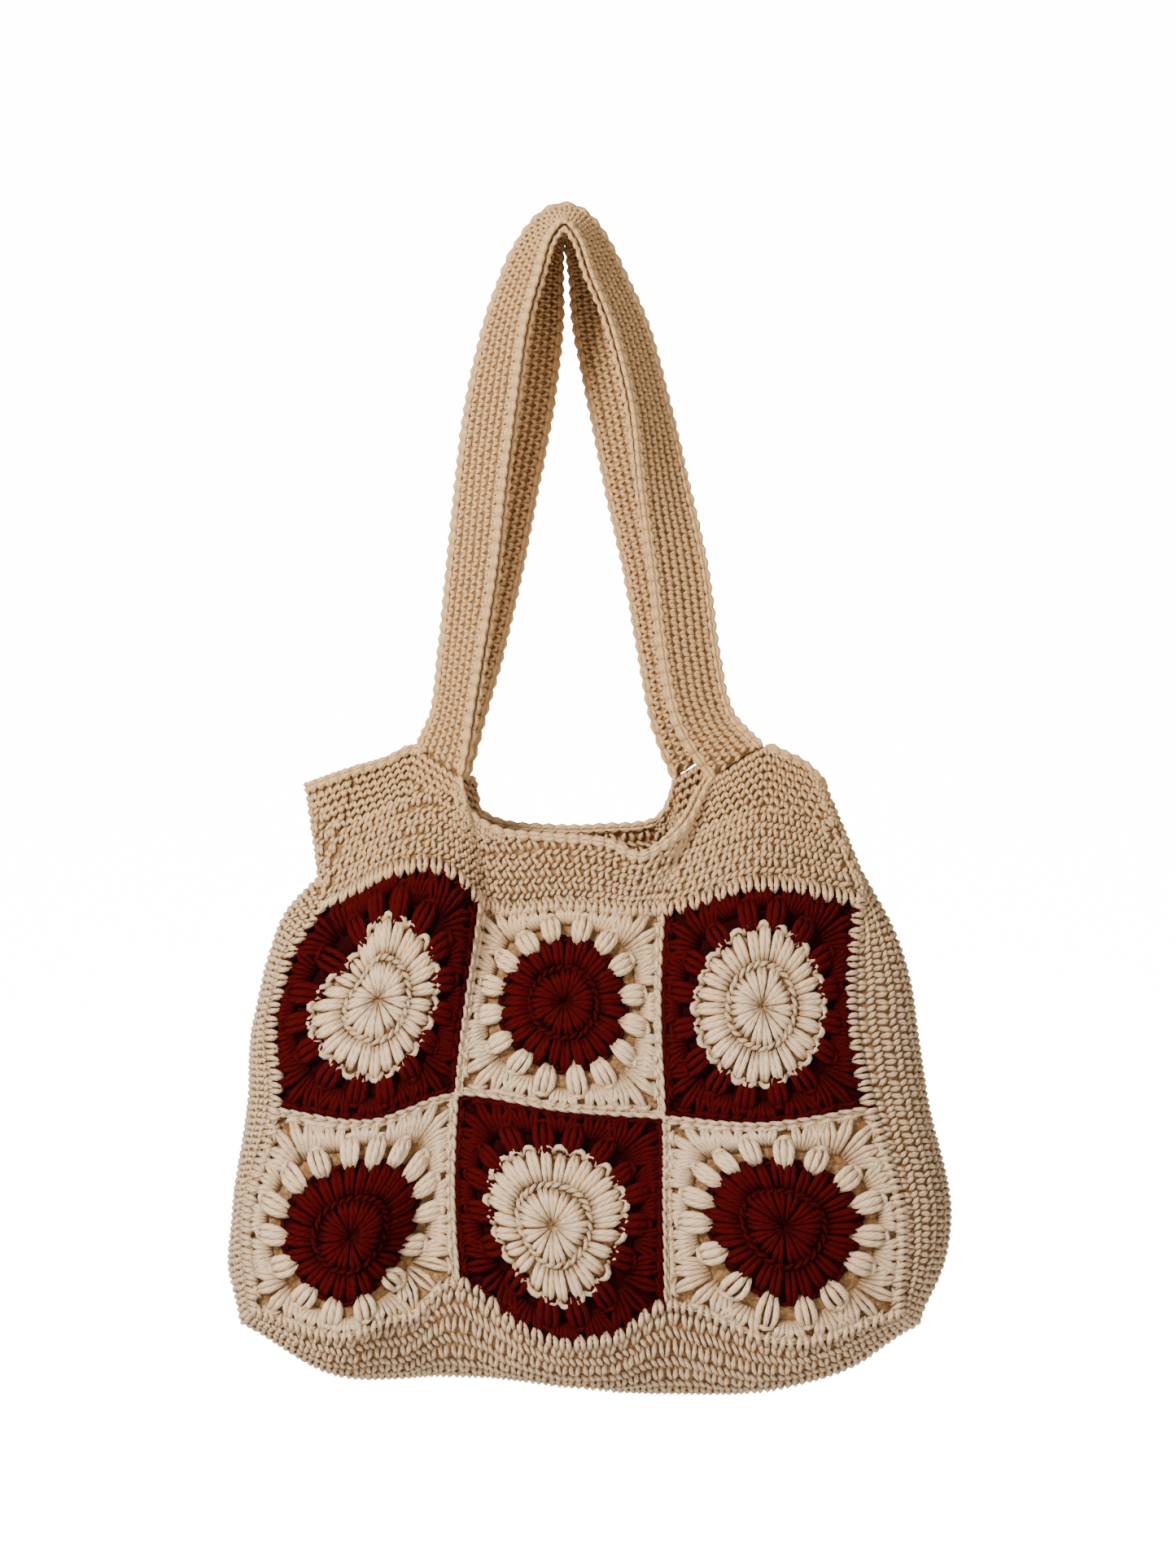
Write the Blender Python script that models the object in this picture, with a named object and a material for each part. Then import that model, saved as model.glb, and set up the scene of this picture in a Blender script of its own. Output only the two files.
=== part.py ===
"""A crocheted granny-square tote bag, shown hanging by its two shoulder straps.

Metres, +Z up. The origin is the point under the straps' arch where the bag hangs. The front faces -Y.
Each table below has a row for each section or fold, and its lengths are shares of the named sizes.
"""

import math

import bmesh
import bpy
from mathutils import Vector

# Sizes that can be set one by one
STRAP_DROP = 0.3055
STRAP_WIDTH = 0.036
STRAP_THICKNESS = 0.005
NECK_DIP = 0.0418
BAND_HEIGHT = 0.0404
PANEL_WIDTH = 0.346
PANEL_HEIGHT = 0.254
HALF_DEPTH = 0.040
GUSSET_REACH = 0.0254
WALL = 0.005
FOLD_DEPTH = 0.012
ROSETTE_SHARE = 0.33
GAP = 0.0003
STRAP_END_GAP = 0.0006

# How the back bellies out from its sides to its middle: below 1 is flatter in the middle
BACK_BELLY = 0.7

# Counts of faces
SIDE_STEPS = 6
GUSSET_STEPS = 6
BAND_ROWS = 5
STRAP_STEPS = 36
NORMAL_ROUNDS = 8
# Part of a strap table's step over which the strap's direction is measured
RUN_STEP = 0.05

COLUMNS = ("left", "middle", "right")
LEVELS = ("upper", "lower")
SIDES = ("front", "back")
STRAP_SPAN = {"left": (0.5, 1.0), "right": (2.0, 2.5)}
GUSSETS = {"gusset_left": 2, "gusset_bottom": 5, "gusset_right": 7}

CREAM = (0.82, 0.70, 0.55)
WARM_CREAM = (0.84, 0.66, 0.46)
RED = (0.19, 0.012, 0.008)

# The front panel: a row for each line down it, from the left edge to the right edge in squares across.
# The columns go down the line: top edge, middle of the upper squares, seam, middle of the lower, bottom.
# Share of PANEL_WIDTH, from the line below the hook
PANEL_X = {
    0.0: (-0.393, -0.484, -0.482, -0.529, -0.518),
    0.5: (-0.288, -0.307, -0.323, -0.351, -0.355),
    1.0: (-0.142, -0.161, -0.175, -0.180, -0.172),
    1.5: (0.011, 0.005, -0.001, -0.014, 0.009),
    2.0: (0.171, 0.164, 0.171, 0.172, 0.174),
    2.5: (0.332, 0.335, 0.336, 0.370, 0.377),
    3.0: (0.502, 0.488, 0.520, 0.570, 0.567),
}
# Share of PANEL_HEIGHT, down from the panel's top
PANEL_DROP = {
    0.0: (0.000, 0.241, 0.467, 0.704, 0.930),
    0.5: (-0.067, 0.215, 0.494, 0.754, 0.985),
    1.0: (0.007, 0.224, 0.433, 0.652, 0.865),
    1.5: (0.000, 0.222, 0.467, 0.728, 1.004),
    2.0: (0.007, 0.241, 0.485, 0.685, 0.915),
    2.5: (-0.052, 0.233, 0.500, 0.731, 1.004),
    3.0: (-0.013, 0.231, 0.463, 0.704, 0.935),
}
# Share of HALF_DEPTH, towards the front
PANEL_DEPTH = {
    0.0: (0.45, 0.55, 0.72, 0.80, 0.66),
    0.5: (0.74, 0.92, 0.98, 1.10, 0.88),
    1.0: (0.60, 0.72, 0.80, 0.85, 0.72),
    1.5: (0.52, 0.88, 0.98, 1.15, 0.92),
    2.0: (0.64, 0.78, 0.90, 0.98, 0.78),
    2.5: (0.80, 0.98, 1.08, 1.20, 0.92),
    3.0: (0.45, 0.60, 0.75, 0.85, 0.70),
}
# The back hangs plain between its two edges: share of HALF_DEPTH for the same five places down
BACK_DEPTH = {
    "edge": (0.45, 0.58, 0.72, 0.80, 0.66),
    "middle": (0.70, 0.92, 1.02, 1.12, 0.88),
}

# Folds of the front: place in squares across and down, reach both ways, and the shift as shares of
# FOLD_DEPTH to the right, to the front and up
FOLDS = (
    # across, down, reach across, reach down, right, front, up
    (0.86, 0.10, 0.16, 0.34, 0.3, 0.8, 0.9),
    (1.10, 0.30, 0.09, 0.42, 0.0, -0.7, 0.0),
    (0.80, 1.72, 0.15, 0.30, 0.0, -1.2, 0.0),
    (0.55, 1.98, 0.22, 0.16, 0.0, 0.6, 0.0),
    (0.80, 2.00, 0.10, 0.10, 0.0, 0.2, -0.9),
    (1.96, 0.10, 0.10, 0.40, 0.0, -0.4, 0.0),
    (0.70, 0.00, 0.20, 0.14, 0.0, 0.0, 0.8),
    (0.00, 0.22, 0.20, 0.18, -0.5, 0.0, 0.0),
    (0.27, 0.30, 0.15, 0.18, 0.8, -0.2, -0.4),
    (1.24, 2.00, 0.15, 0.18, 0.0, 0.0, -0.5),
    (1.80, 2.00, 0.15, 0.18, 0.0, 0.0, -0.7),
)

# The gusset's ridge: place along the border in squares, from the top of the left side round the bottom
# to the top of the right side, then how far the ridge lies out from the panel's edge, as shares of
# GUSSET_REACH to the right and down
GUSSET_RIDGE = {
    0.0: (-0.22, -0.62),
    0.12: (-0.62, -0.42),
    0.25: (-0.60, -0.16),
    0.5: (-0.42, 0.09),
    1.0: (-0.63, 0.00),
    1.5: (-0.34, 0.15),
    1.75: (-0.44, 0.18),
    2.0: (-0.30, 0.30),
    2.5: (-0.19, 0.94),
    3.0: (-0.06, 2.18),
    3.5: (0.00, 0.96),
    4.0: (0.04, 2.08),
    4.5: (0.06, 0.98),
    4.75: (0.34, 0.72),
    5.0: (0.46, 0.30),
    5.25: (0.94, 0.14),
    5.5: (1.15, 0.00),
    6.0: (1.33, 0.00),
    6.5: (1.43, 0.00),
    6.75: (1.02, -0.22),
    7.0: (0.02, -0.62),
}

# The rim between the straps and over the sides: share of PANEL_WIDTH to the right, share of NECK_DIP
# down from the strap ends, and share of HALF_DEPTH away from the middle
RIM = {
    "front": {
        0.00: (-0.350, 0.09, 0.23),
        0.25: (-0.296, -0.04, 0.22),
        1.15: (-0.157, 0.64, 0.56),
        1.35: (-0.106, 0.93, 0.48),
        1.50: (-0.038, 1.00, 0.48),
        1.70: (0.076, 1.09, 0.60),
        1.83: (0.138, 1.28, 0.74),
        1.92: (0.210, 0.86, 0.68),
        2.75: (0.379, -0.11, 0.30),
        3.00: (0.410, 0.01, 0.23),
    },
    "back": {
        0.00: (-0.350, 0.09, 0.23),
        0.25: (-0.296, -0.04, 0.22),
        1.15: (-0.146, 0.60, 0.66),
        1.35: (-0.096, 0.84, 0.58),
        1.50: (0.000, 0.90, 0.58),
        1.70: (0.079, 0.88, 0.58),
        1.83: (0.142, 0.84, 0.60),
        1.92: (0.172, 0.68, 0.62),
        2.75: (0.379, -0.11, 0.26),
        3.00: (0.410, 0.01, 0.23),
    },
}
# How far the rim reaches out past its ends at the two sides, as a share of BAND_HEIGHT to the right
# and down
EAR_TIPS = {"left": (-0.70, 0.24), "right": (0.27, 0.27)}

# The straps' middle lines, from the left end over the arch to the right end: share of PANEL_WIDTH to
# the right, share of STRAP_DROP down from the hook, turn and tilt of the strap's width in degrees, and
# share of HALF_DEPTH away from the middle
STRAPS = {
    "front": (
        (-0.206, 1.000, 35, 31, 0.42),
        (-0.186, 0.915, 50, 8, 0.40),
        (-0.170, 0.792, 47, 2, 0.40),
        (-0.152, 0.638, 40, 0, 0.40),
        (-0.138, 0.485, 40, 0, 0.40),
        (-0.121, 0.331, 39, 0, 0.40),
        (-0.097, 0.177, 48, 0, 0.42),
        (-0.069, 0.071, 54, 3, 0.45),
        (-0.046, 0.007, 66, 11, 0.47),
        (-0.021, -0.028, 76, 17, 0.48),
        (0.004, -0.041, 90, 20, 0.48),
        (0.029, -0.028, 103, 17, 0.48),
        (0.054, 0.010, 112, 11, 0.47),
        (0.079, 0.077, 122, 3, 0.45),
        (0.116, 0.177, 126, 0, 0.42),
        (0.151, 0.331, 128, 0, 0.40),
        (0.174, 0.485, 141, 0, 0.38),
        (0.198, 0.638, 153, 0, 0.35),
        (0.215, 0.792, 154, 2, 0.35),
        (0.239, 0.915, 156, 8, 0.38),
        (0.292, 1.000, 168, 33, 0.42),
    ),
    "back": (
        (-0.203, 1.000, 35, 30, 0.42),
        (-0.179, 0.915, 45, 8, 0.40),
        (-0.151, 0.792, 36, 2, 0.40),
        (-0.121, 0.638, 30, 0, 0.38),
        (-0.095, 0.485, 30, 0, 0.38),
        (-0.069, 0.331, 30, 0, 0.38),
        (-0.051, 0.177, 36, 0, 0.40),
        (-0.043, 0.071, 50, 3, 0.45),
        (-0.032, 0.012, 65, 11, 0.47),
        (-0.019, -0.026, 77, 17, 0.48),
        (0.005, -0.036, 90, 20, 0.48),
        (0.029, -0.026, 103, 17, 0.48),
        (0.042, 0.012, 115, 11, 0.47),
        (0.058, 0.071, 130, 3, 0.45),
        (0.072, 0.177, 145, 0, 0.40),
        (0.101, 0.331, 150, 0, 0.38),
        (0.128, 0.485, 150, 0, 0.38),
        (0.158, 0.638, 150, 0, 0.38),
        (0.182, 0.792, 148, 2, 0.38),
        (0.202, 0.915, 145, 8, 0.40),
        (0.231, 1.000, 145, 29, 0.42),
    ),
}
# Across a strap: share of its width, and how much the faces draw in there, as a share of its thickness
STRAP_SECTION = ((0.0, 0.30), (0.12, 0.0), (0.5, -0.06), (0.88, 0.0), (1.0, 0.30))

PANEL_TOP = -(STRAP_DROP + NECK_DIP + BAND_HEIGHT)
OUTWARD = {"front": -1.0, "back": 1.0}


def smooth_between(start, end, leave, arrive, t):
    """A cubic from start to end with the given slopes at its two ends, for t from 0 to 1."""
    return (
        start * (2 * t**3 - 3 * t**2 + 1) + leave * (t**3 - 2 * t**2 + t)
        + end * (3 * t**2 - 2 * t**3) + arrive * (t**3 - t**2)
    )


def through(places, values, place):
    """Read from a smooth curve through values that lie at rising places."""
    last = len(places) - 1
    i = max(k for k in range(last) if k == 0 or places[k] <= place + 1e-9)
    step = places[i + 1] - places[i]

    def slope(k):
        a, b = max(k - 1, 0), min(k + 1, last)
        return (values[b] - values[a]) / (places[b] - places[a]) * step

    return smooth_between(values[i], values[i + 1], slope(i), slope(i + 1), (place - places[i]) / step)


def along(table, place):
    """Vector read from a table of places and values."""
    places = sorted(table)
    return through(places, [Vector(table[p]) for p in places], place)


def along_line(row, down):
    """A line's value at a place in squares down, where its five entries lie half a square apart."""
    return through([0.5 * i for i in range(len(row))], row, down)


def net_value(table, across, down):
    """One value of the panel's net at a place in squares across and down."""
    return through(list(table), [along_line(row, down) for row in table.values()], across)


def fold_shift(across, down):
    """The folds' shift of a place on the front panel."""
    shift = Vector()
    for at_across, at_down, reach_across, reach_down, right, front, up in FOLDS:
        fade = math.exp(-(((across - at_across) / reach_across) ** 2) - ((down - at_down) / reach_down) ** 2)
        shift += Vector((right, -front, up)) * (fade * FOLD_DEPTH)
    return shift


def front_net_point(across, down):
    """A place on the front panel before it folds."""
    x = net_value(PANEL_X, across, down) * PANEL_WIDTH
    z = PANEL_TOP - net_value(PANEL_DROP, across, down) * PANEL_HEIGHT
    y = -net_value(PANEL_DEPTH, across, down) * HALF_DEPTH
    return Vector((x, y, z))


def front_point(across, down):
    """A place on the front panel's outer face."""
    return front_net_point(across, down) + fold_shift(across, down)


def back_point(across, down):
    """A place on the back panel's outer face, straight across between the two edges."""
    share = across / len(COLUMNS)
    left = Vector((along_line(PANEL_X[0.0], down), along_line(PANEL_DROP[0.0], down)))
    right = Vector((along_line(PANEL_X[3.0], down), along_line(PANEL_DROP[3.0], down)))
    spot = left.lerp(right, share)
    edge = along_line(BACK_DEPTH["edge"], down)
    middle = along_line(BACK_DEPTH["middle"], down)
    depth = edge + (middle - edge) * math.sin(math.pi * share) ** BACK_BELLY
    return Vector((spot.x * PANEL_WIDTH, depth * HALF_DEPTH, PANEL_TOP - spot.y * PANEL_HEIGHT))


PANEL_POINT = {"front": front_point, "back": back_point}


def border_place(k):
    """Squares across and down for a place along the border that the gusset follows."""
    if k <= 2:
        return 0.0, k
    if k <= 5:
        return k - 2, 2.0
    return 3.0, 7 - k


def gusset_point(k, turn):
    """A place on the gusset: k squares along the border, and turn from the front edge 0 to the back 1."""
    front = front_point(*border_place(k))
    back = back_point(*border_place(k))
    edge = front_net_point(*border_place(k))
    reach = along(GUSSET_RIDGE, k) * GUSSET_REACH
    ridge = Vector((edge.x + reach.x, 0, edge.z - reach.y))
    middle = (front + back) / 2
    swing = (1 - math.cos(math.pi * turn)) / 2
    return front.lerp(back, swing) + (ridge - middle) * math.sin(math.pi * turn)


def strap_row(side, step):
    """Middle and width direction of a strap at a step of its table."""
    x, drop, turn, tilt, depth = along(dict(enumerate(STRAPS[side])), step)
    out = OUTWARD[side]
    turn, tilt = math.radians(turn), math.radians(tilt)
    middle = Vector((x * PANEL_WIDTH, out * depth * HALF_DEPTH, -drop * STRAP_DROP))
    width = Vector((math.cos(turn) * math.cos(tilt), out * math.sin(turn) * math.cos(tilt), -math.sin(tilt)))
    return middle, width


def strap_frame(side, step):
    """Middle, width, outward and forward directions of a strap at a step of its table."""
    last = len(STRAPS[side]) - 1
    ahead = strap_row(side, min(step + RUN_STEP, last))[0] - strap_row(side, max(step - RUN_STEP, 0))[0]
    middle, width = strap_row(side, step)
    outward = width.cross(ahead) if side == "front" else ahead.cross(width)
    return middle, width, outward.normalized(), ahead.normalized()


def strap_end(side, hand):
    """Edge points of a strap's end, ordered from left to right, and the direction that it runs in there."""
    step = 0 if hand == "left" else len(STRAPS[side]) - 1
    middle, width, _, ahead = strap_frame(side, step)
    edges = (middle - width * STRAP_WIDTH / 2, middle + width * STRAP_WIDTH / 2)
    if hand == "right":
        edges = edges[::-1]
    return edges, ahead


def rim_point(side, across):
    """A place on the rim, in squares across."""
    for hand, (start, end) in STRAP_SPAN.items():
        if start <= across <= end:
            edges, _ = strap_end(side, hand)
            return edges[0].lerp(edges[1], (across - start) / (end - start))
    rows = {
        p: (x * PANEL_WIDTH, OUTWARD[side] * depth * HALF_DEPTH, -STRAP_DROP - down * NECK_DIP)
        for p, (x, down, depth) in RIM[side].items()
    }
    for hand, (start, end) in STRAP_SPAN.items():
        edges, _ = strap_end(side, hand)
        rows[start], rows[end] = tuple(edges[0]), tuple(edges[1])
    return along(rows, across)


def rim_side_point(hand, turn):
    """A place on the rim over a side of the bag, from the front 0 to the back 1."""
    across = 0.0 if hand == "left" else 3.0
    front, back = rim_point("front", across), rim_point("back", across)
    right, down = EAR_TIPS[hand]
    tip = (front + back) / 2 + Vector((right, 0, -down)) * BAND_HEIGHT
    swing = (1 - math.cos(math.pi * turn)) / 2
    return front.lerp(back, swing) + (tip - (front + back) / 2) * math.sin(math.pi * turn)


class Skin:
    """The bag's whole outer face, whose faces are shared out among the nodes."""

    def __init__(self):
        self.points = []
        self.index = {}
        self.faces = []
        self.square_to = {}

    def vertex(self, point):
        key = tuple(round(c, 6) for c in point)
        if key not in self.index:
            self.index[key] = len(self.points)
            self.points.append(Vector(point))
        return self.index[key]

    def face(self, node, corners):
        """Adds a face, whose corners run anticlockwise as seen from outside."""
        self.faces.append((node, tuple(self.vertex(c) for c in corners)))

    def normals(self):
        """One outward direction for each point, the same for all nodes that meet there."""
        found = [Vector() for _ in self.points]
        for _, face in self.faces:
            for i, v in enumerate(face):
                before, here, after = (self.points[face[(i + d) % len(face)]] for d in (-1, 0, 1))
                spread = (after - here).angle(before - here)
                found[v] += (after - here).cross(before - here).normalized() * spread
        found = [n.normalized() for n in found]
        for _ in range(NORMAL_ROUNDS):
            mixed = [n.copy() for n in found]
            for _, face in self.faces:
                for v in face:
                    mixed[v] += sum((found[w] for w in face), Vector()) / len(face)
            for v, line in self.square_to.items():
                mixed[v] -= line * mixed[v].dot(line)
            found = [n.normalized() for n in mixed]
        return found


def side_places(steps):
    """Places round a square's border, as shares across and down, each written once."""
    line = [i / steps for i in range(steps)]
    top = [(s, 0.0) for s in line]
    right = [(1.0, s) for s in line]
    bottom = [(1.0 - s, 1.0) for s in line]
    left = [(0.0, 1.0 - s) for s in line]
    return top + right + bottom + left


def add_square(skin, side, column, level):
    """A granny square: the round rosette and the square frame around it."""
    base = f"{side}_{LEVELS[level]}_{COLUMNS[column]}"
    border = side_places(SIDE_STEPS)

    def place(share_across, share_down):
        return PANEL_POINT[side](column + share_across, level + share_down)

    def ring(share, towards_border=0.0):
        spots = []
        for across, down in border:
            away = Vector((across - 0.5, down - 0.5))
            circle = away.normalized() * share
            spot = circle.lerp(away, towards_border)
            spots.append(place(0.5 + spot.x, 0.5 + spot.y))
        return spots

    rings = [ring(ROSETTE_SHARE * 0.5), ring(ROSETTE_SHARE), ring(ROSETTE_SHARE, 0.5), ring(0.5, 1.0)]
    count = len(border)
    centre = place(0.5, 0.5)
    for i in range(count):
        j = (i + 1) % count
        add(skin, side, f"{base}_rosette", (centre, rings[0][j], rings[0][i]))
        add(skin, side, f"{base}_rosette", (rings[0][i], rings[0][j], rings[1][j], rings[1][i]))
        for inner, outer in ((1, 2), (2, 3)):
            corners = (rings[inner][i], rings[inner][j], rings[outer][j], rings[outer][i])
            add(skin, side, f"{base}_frame", corners)


def add(skin, side, node, corners):
    """Adds a face whose corners run anticlockwise on the front, and turns it round on the back."""
    skin.face(node, corners if side == "front" else corners[::-1])


def add_gusset(skin):
    """The strips that join front and back down the sides and along the bottom."""
    count = 7 * SIDE_STEPS
    for i in range(count):
        k, after = i / SIDE_STEPS, (i + 1) / SIDE_STEPS
        node = next(name for name, end in GUSSETS.items() if after <= end)
        for j in range(GUSSET_STEPS):
            t, beyond = j / GUSSET_STEPS, (j + 1) / GUSSET_STEPS
            near = [gusset_point(after, t), gusset_point(k, t)]
            far = [gusset_point(k, beyond), gusset_point(after, beyond)]
            skin.face(node, near + far)


def band_columns():
    """Base point and rim point of each column of the top band, round the bag, and a strap's run above it."""
    steps = 3 * SIDE_STEPS

    def halved(points):
        """The points with the middle of each step put between."""
        found = []
        for start, end in zip(points, points[1:]):
            found += [start, (start + end) / 2]
        return found

    def strap_run_at(side, across):
        for hand, (start, end) in STRAP_SPAN.items():
            if start <= across <= end:
                return strap_end(side, hand)[1]
        return None

    front = halved([front_point(i / SIDE_STEPS, 0) for i in range(steps + 1)])
    right = halved([gusset_point(7, j / GUSSET_STEPS) for j in range(GUSSET_STEPS + 1)])
    back = halved([back_point(3 - i / SIDE_STEPS, 0) for i in range(steps + 1)])
    left = halved([gusset_point(0, 1 - j / GUSSET_STEPS) for j in range(GUSSET_STEPS + 1)])
    columns = []
    for i, base in enumerate(front):
        across = 3 * i / len(front)
        columns.append((base, rim_point("front", across), strap_run_at("front", across)))
    for j, base in enumerate(right):
        columns.append((base, rim_side_point("right", j / len(right)), None))
    for i, base in enumerate(back):
        across = 3 - 3 * i / len(back)
        columns.append((base, rim_point("back", across), strap_run_at("back", across)))
    for j, base in enumerate(left):
        columns.append((base, rim_side_point("left", 1 - j / len(left)), None))
    return columns


def add_band(skin):
    """The band above the squares, with the two side ears and the ends that carry the straps."""
    columns = band_columns()
    rows = [[base.lerp(rim, j / BAND_ROWS) for base, rim, _ in columns] for j in range(BAND_ROWS + 1)]
    base, first = rows[0], rows[1]
    for i in range(0, len(columns), 2):
        after = (i + 2) % len(columns)
        skin.face("top_band", [base[i], first[i + 1], first[i]])
        skin.face("top_band", [base[i], base[after], first[i + 1]])
        skin.face("top_band", [base[after], first[after], first[i + 1]])
    for lower, upper in zip(rows[1:], rows[2:]):
        for i in range(len(columns)):
            after = (i + 1) % len(columns)
            skin.face("top_band", [lower[i], lower[after], upper[after], upper[i]])
    for (_, _, strap_run), point in zip(columns, rows[-1]):
        if strap_run is not None:
            skin.square_to[skin.vertex(point)] = strap_run


def shell_of(skin, node, normals):
    """Closed wall of one node: its outer face, an inner face WALL behind, and the edges between."""
    faces = [face for name, face in skin.faces if name == node]
    used = sorted({v for face in faces for v in face})
    edges = {}
    for face in faces:
        for a, b in zip(face, face[1:] + face[:1]):
            edges[(a, b)] = face
    rim_edges = [(a, b) for a, b in edges if (b, a) not in edges]
    pull = {v: [] for v in used}
    for a, b in rim_edges:
        face = edges[(a, b)]
        middle = sum((skin.points[v] for v in face), Vector()) / len(face)
        line = (skin.points[b] - skin.points[a]).normalized()
        inward = middle - skin.points[a]
        inward = (inward - line * inward.dot(line)).normalized()
        pull[a].append(inward)
        pull[b].append(inward)
    outer, inner = {}, {}
    for v in used:
        shift = Vector()
        if pull[v]:
            total = sum(pull[v], Vector()) / len(pull[v])
            shift = total / max(total.length_squared, 0.25) * (GAP / 2)
        outer[v] = skin.points[v] + shift
        inner[v] = outer[v] - normals[v] * WALL
    mesh = bmesh.new()
    top = {v: mesh.verts.new(outer[v]) for v in used}
    under = {v: mesh.verts.new(inner[v]) for v in used}
    for face in faces:
        mesh.faces.new([top[v] for v in face])
        mesh.faces.new([under[v] for v in reversed(face)])
    for a, b in rim_edges:
        low, high = min(a, b), max(a, b)
        for odd in (top[high], under[low]):
            corners = [top[low], under[high], odd]
            mesh.faces.new(corners)
    return mesh


def strap_mesh(side):
    """A strap: rounded flat sections along its table, set just above the band's rim."""
    last = len(STRAPS[side]) - 1
    mesh = bmesh.new()
    sections = []
    for n in range(STRAP_STEPS + 1):
        step = last * n / STRAP_STEPS
        middle, width, outward, ahead = strap_frame(side, step)
        if n == 0:
            middle += ahead * STRAP_END_GAP
        if n == STRAP_STEPS:
            middle -= ahead * STRAP_END_GAP
        left = middle - width * STRAP_WIDTH / 2
        upper, lower = [], []
        for share, draw in STRAP_SECTION:
            spot = left + width * STRAP_WIDTH * share
            upper.append(mesh.verts.new(spot - outward * STRAP_THICKNESS * draw))
            lower.append(mesh.verts.new(spot - outward * STRAP_THICKNESS * (1 - draw)))
        sections.append(upper + lower[::-1])
    count = len(sections[0])
    for first, second in zip(sections, sections[1:]):
        for i in range(count):
            j = (i + 1) % count
            mesh.faces.new([first[i], first[j], second[j], second[i]])
    mesh.faces.new(sections[0][::-1])
    mesh.faces.new(sections[-1])
    return mesh


def material(name, colour, roughness):
    made = bpy.data.materials.new(name)
    made.use_nodes = True
    shader = made.node_tree.nodes["Principled BSDF"]
    shader.inputs["Base Color"].default_value = (*colour, 1.0)
    shader.inputs["Roughness"].default_value = roughness
    shader.inputs["Metallic"].default_value = 0.0
    return made


def place_node(name, mesh, colour):
    """Makes the object of a node from its faces, with its own material."""
    bmesh.ops.triangulate(mesh, faces=mesh.faces[:])
    bmesh.ops.recalc_face_normals(mesh, faces=mesh.faces[:])
    data = bpy.data.meshes.new(name)
    mesh.to_mesh(data)
    mesh.free()
    data.shade_smooth()
    data.set_sharp_from_angle(angle=math.radians(50))
    data.materials.append(material(f"{name}_yarn", colour, 0.9))
    thing = bpy.data.objects.new(name, data)
    bpy.context.collection.objects.link(thing)


def square_colours(column, level):
    """Rosette and frame colours: the squares alternate like a checkerboard."""
    red_frame = (column + level) % 2 == 0
    return (CREAM, RED) if red_frame else (RED, CREAM)


def main():
    for old in list(bpy.data.objects):
        bpy.data.objects.remove(old, do_unlink=True)
    skin = Skin()
    for side in SIDES:
        for level in range(len(LEVELS)):
            for column in range(len(COLUMNS)):
                add_square(skin, side, column, level)
    add_gusset(skin)
    add_band(skin)
    normals = skin.normals()
    for side in SIDES:
        for level, level_name in enumerate(LEVELS):
            for column, column_name in enumerate(COLUMNS):
                rosette, frame = square_colours(column, level)
                base = f"{side}_{level_name}_{column_name}"
                place_node(f"{base}_rosette", shell_of(skin, f"{base}_rosette", normals), rosette)
                place_node(f"{base}_frame", shell_of(skin, f"{base}_frame", normals), frame)
    for name in GUSSETS:
        place_node(name, shell_of(skin, name, normals), CREAM)
    place_node("top_band", shell_of(skin, "top_band", normals), WARM_CREAM)
    for side in SIDES:
        place_node(f"strap_{side}", strap_mesh(side), WARM_CREAM)


main()
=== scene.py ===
"""The looks of a crocheted granny-square tote bag, whose stitches are strands of yarn laid on its form."""

import math

import bpy
import numpy as np
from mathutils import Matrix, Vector


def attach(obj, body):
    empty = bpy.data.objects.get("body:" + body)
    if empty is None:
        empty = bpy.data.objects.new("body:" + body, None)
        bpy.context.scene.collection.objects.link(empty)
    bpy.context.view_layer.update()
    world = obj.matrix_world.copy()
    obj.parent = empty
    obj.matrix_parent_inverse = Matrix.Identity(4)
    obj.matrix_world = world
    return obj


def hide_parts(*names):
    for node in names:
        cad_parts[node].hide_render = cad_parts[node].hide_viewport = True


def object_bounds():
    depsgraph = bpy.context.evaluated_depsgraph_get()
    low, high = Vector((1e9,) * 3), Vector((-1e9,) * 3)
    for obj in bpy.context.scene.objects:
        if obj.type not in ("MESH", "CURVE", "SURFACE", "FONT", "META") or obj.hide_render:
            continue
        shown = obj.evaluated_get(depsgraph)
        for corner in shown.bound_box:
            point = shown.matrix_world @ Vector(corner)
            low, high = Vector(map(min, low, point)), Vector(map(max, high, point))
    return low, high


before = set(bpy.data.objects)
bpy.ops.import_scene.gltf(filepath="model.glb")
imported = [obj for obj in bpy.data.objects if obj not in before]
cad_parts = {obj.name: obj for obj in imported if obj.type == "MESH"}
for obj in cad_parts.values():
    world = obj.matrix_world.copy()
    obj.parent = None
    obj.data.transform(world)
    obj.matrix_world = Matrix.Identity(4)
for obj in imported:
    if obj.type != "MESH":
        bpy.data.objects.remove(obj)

bl_info = {
    "name": "Crocheted tote bag",
    "version": (1, 0, 0),
    "blender": (4, 5, 0),
    "location": "3D View > Sidebar > Tote",
    "description": "Lays the crochet stitches of a granny-square tote bag",
    "category": "Add Mesh",
}

MM = 0.001
CAD_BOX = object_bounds()

# The bag's form, in the same sizes and tables as its solids
STRAP_DROP = 0.3055
STRAP_WIDTH = 0.036
STRAP_THICKNESS = 0.005
NECK_DIP = 0.0418
BAND_HEIGHT = 0.0404
PANEL_WIDTH = 0.346
PANEL_HEIGHT = 0.254
HALF_DEPTH = 0.040
GUSSET_REACH = 0.0254
WALL = 0.005
FOLD_DEPTH = 0.012
PANEL_TOP = -(STRAP_DROP + NECK_DIP + BAND_HEIGHT)

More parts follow.
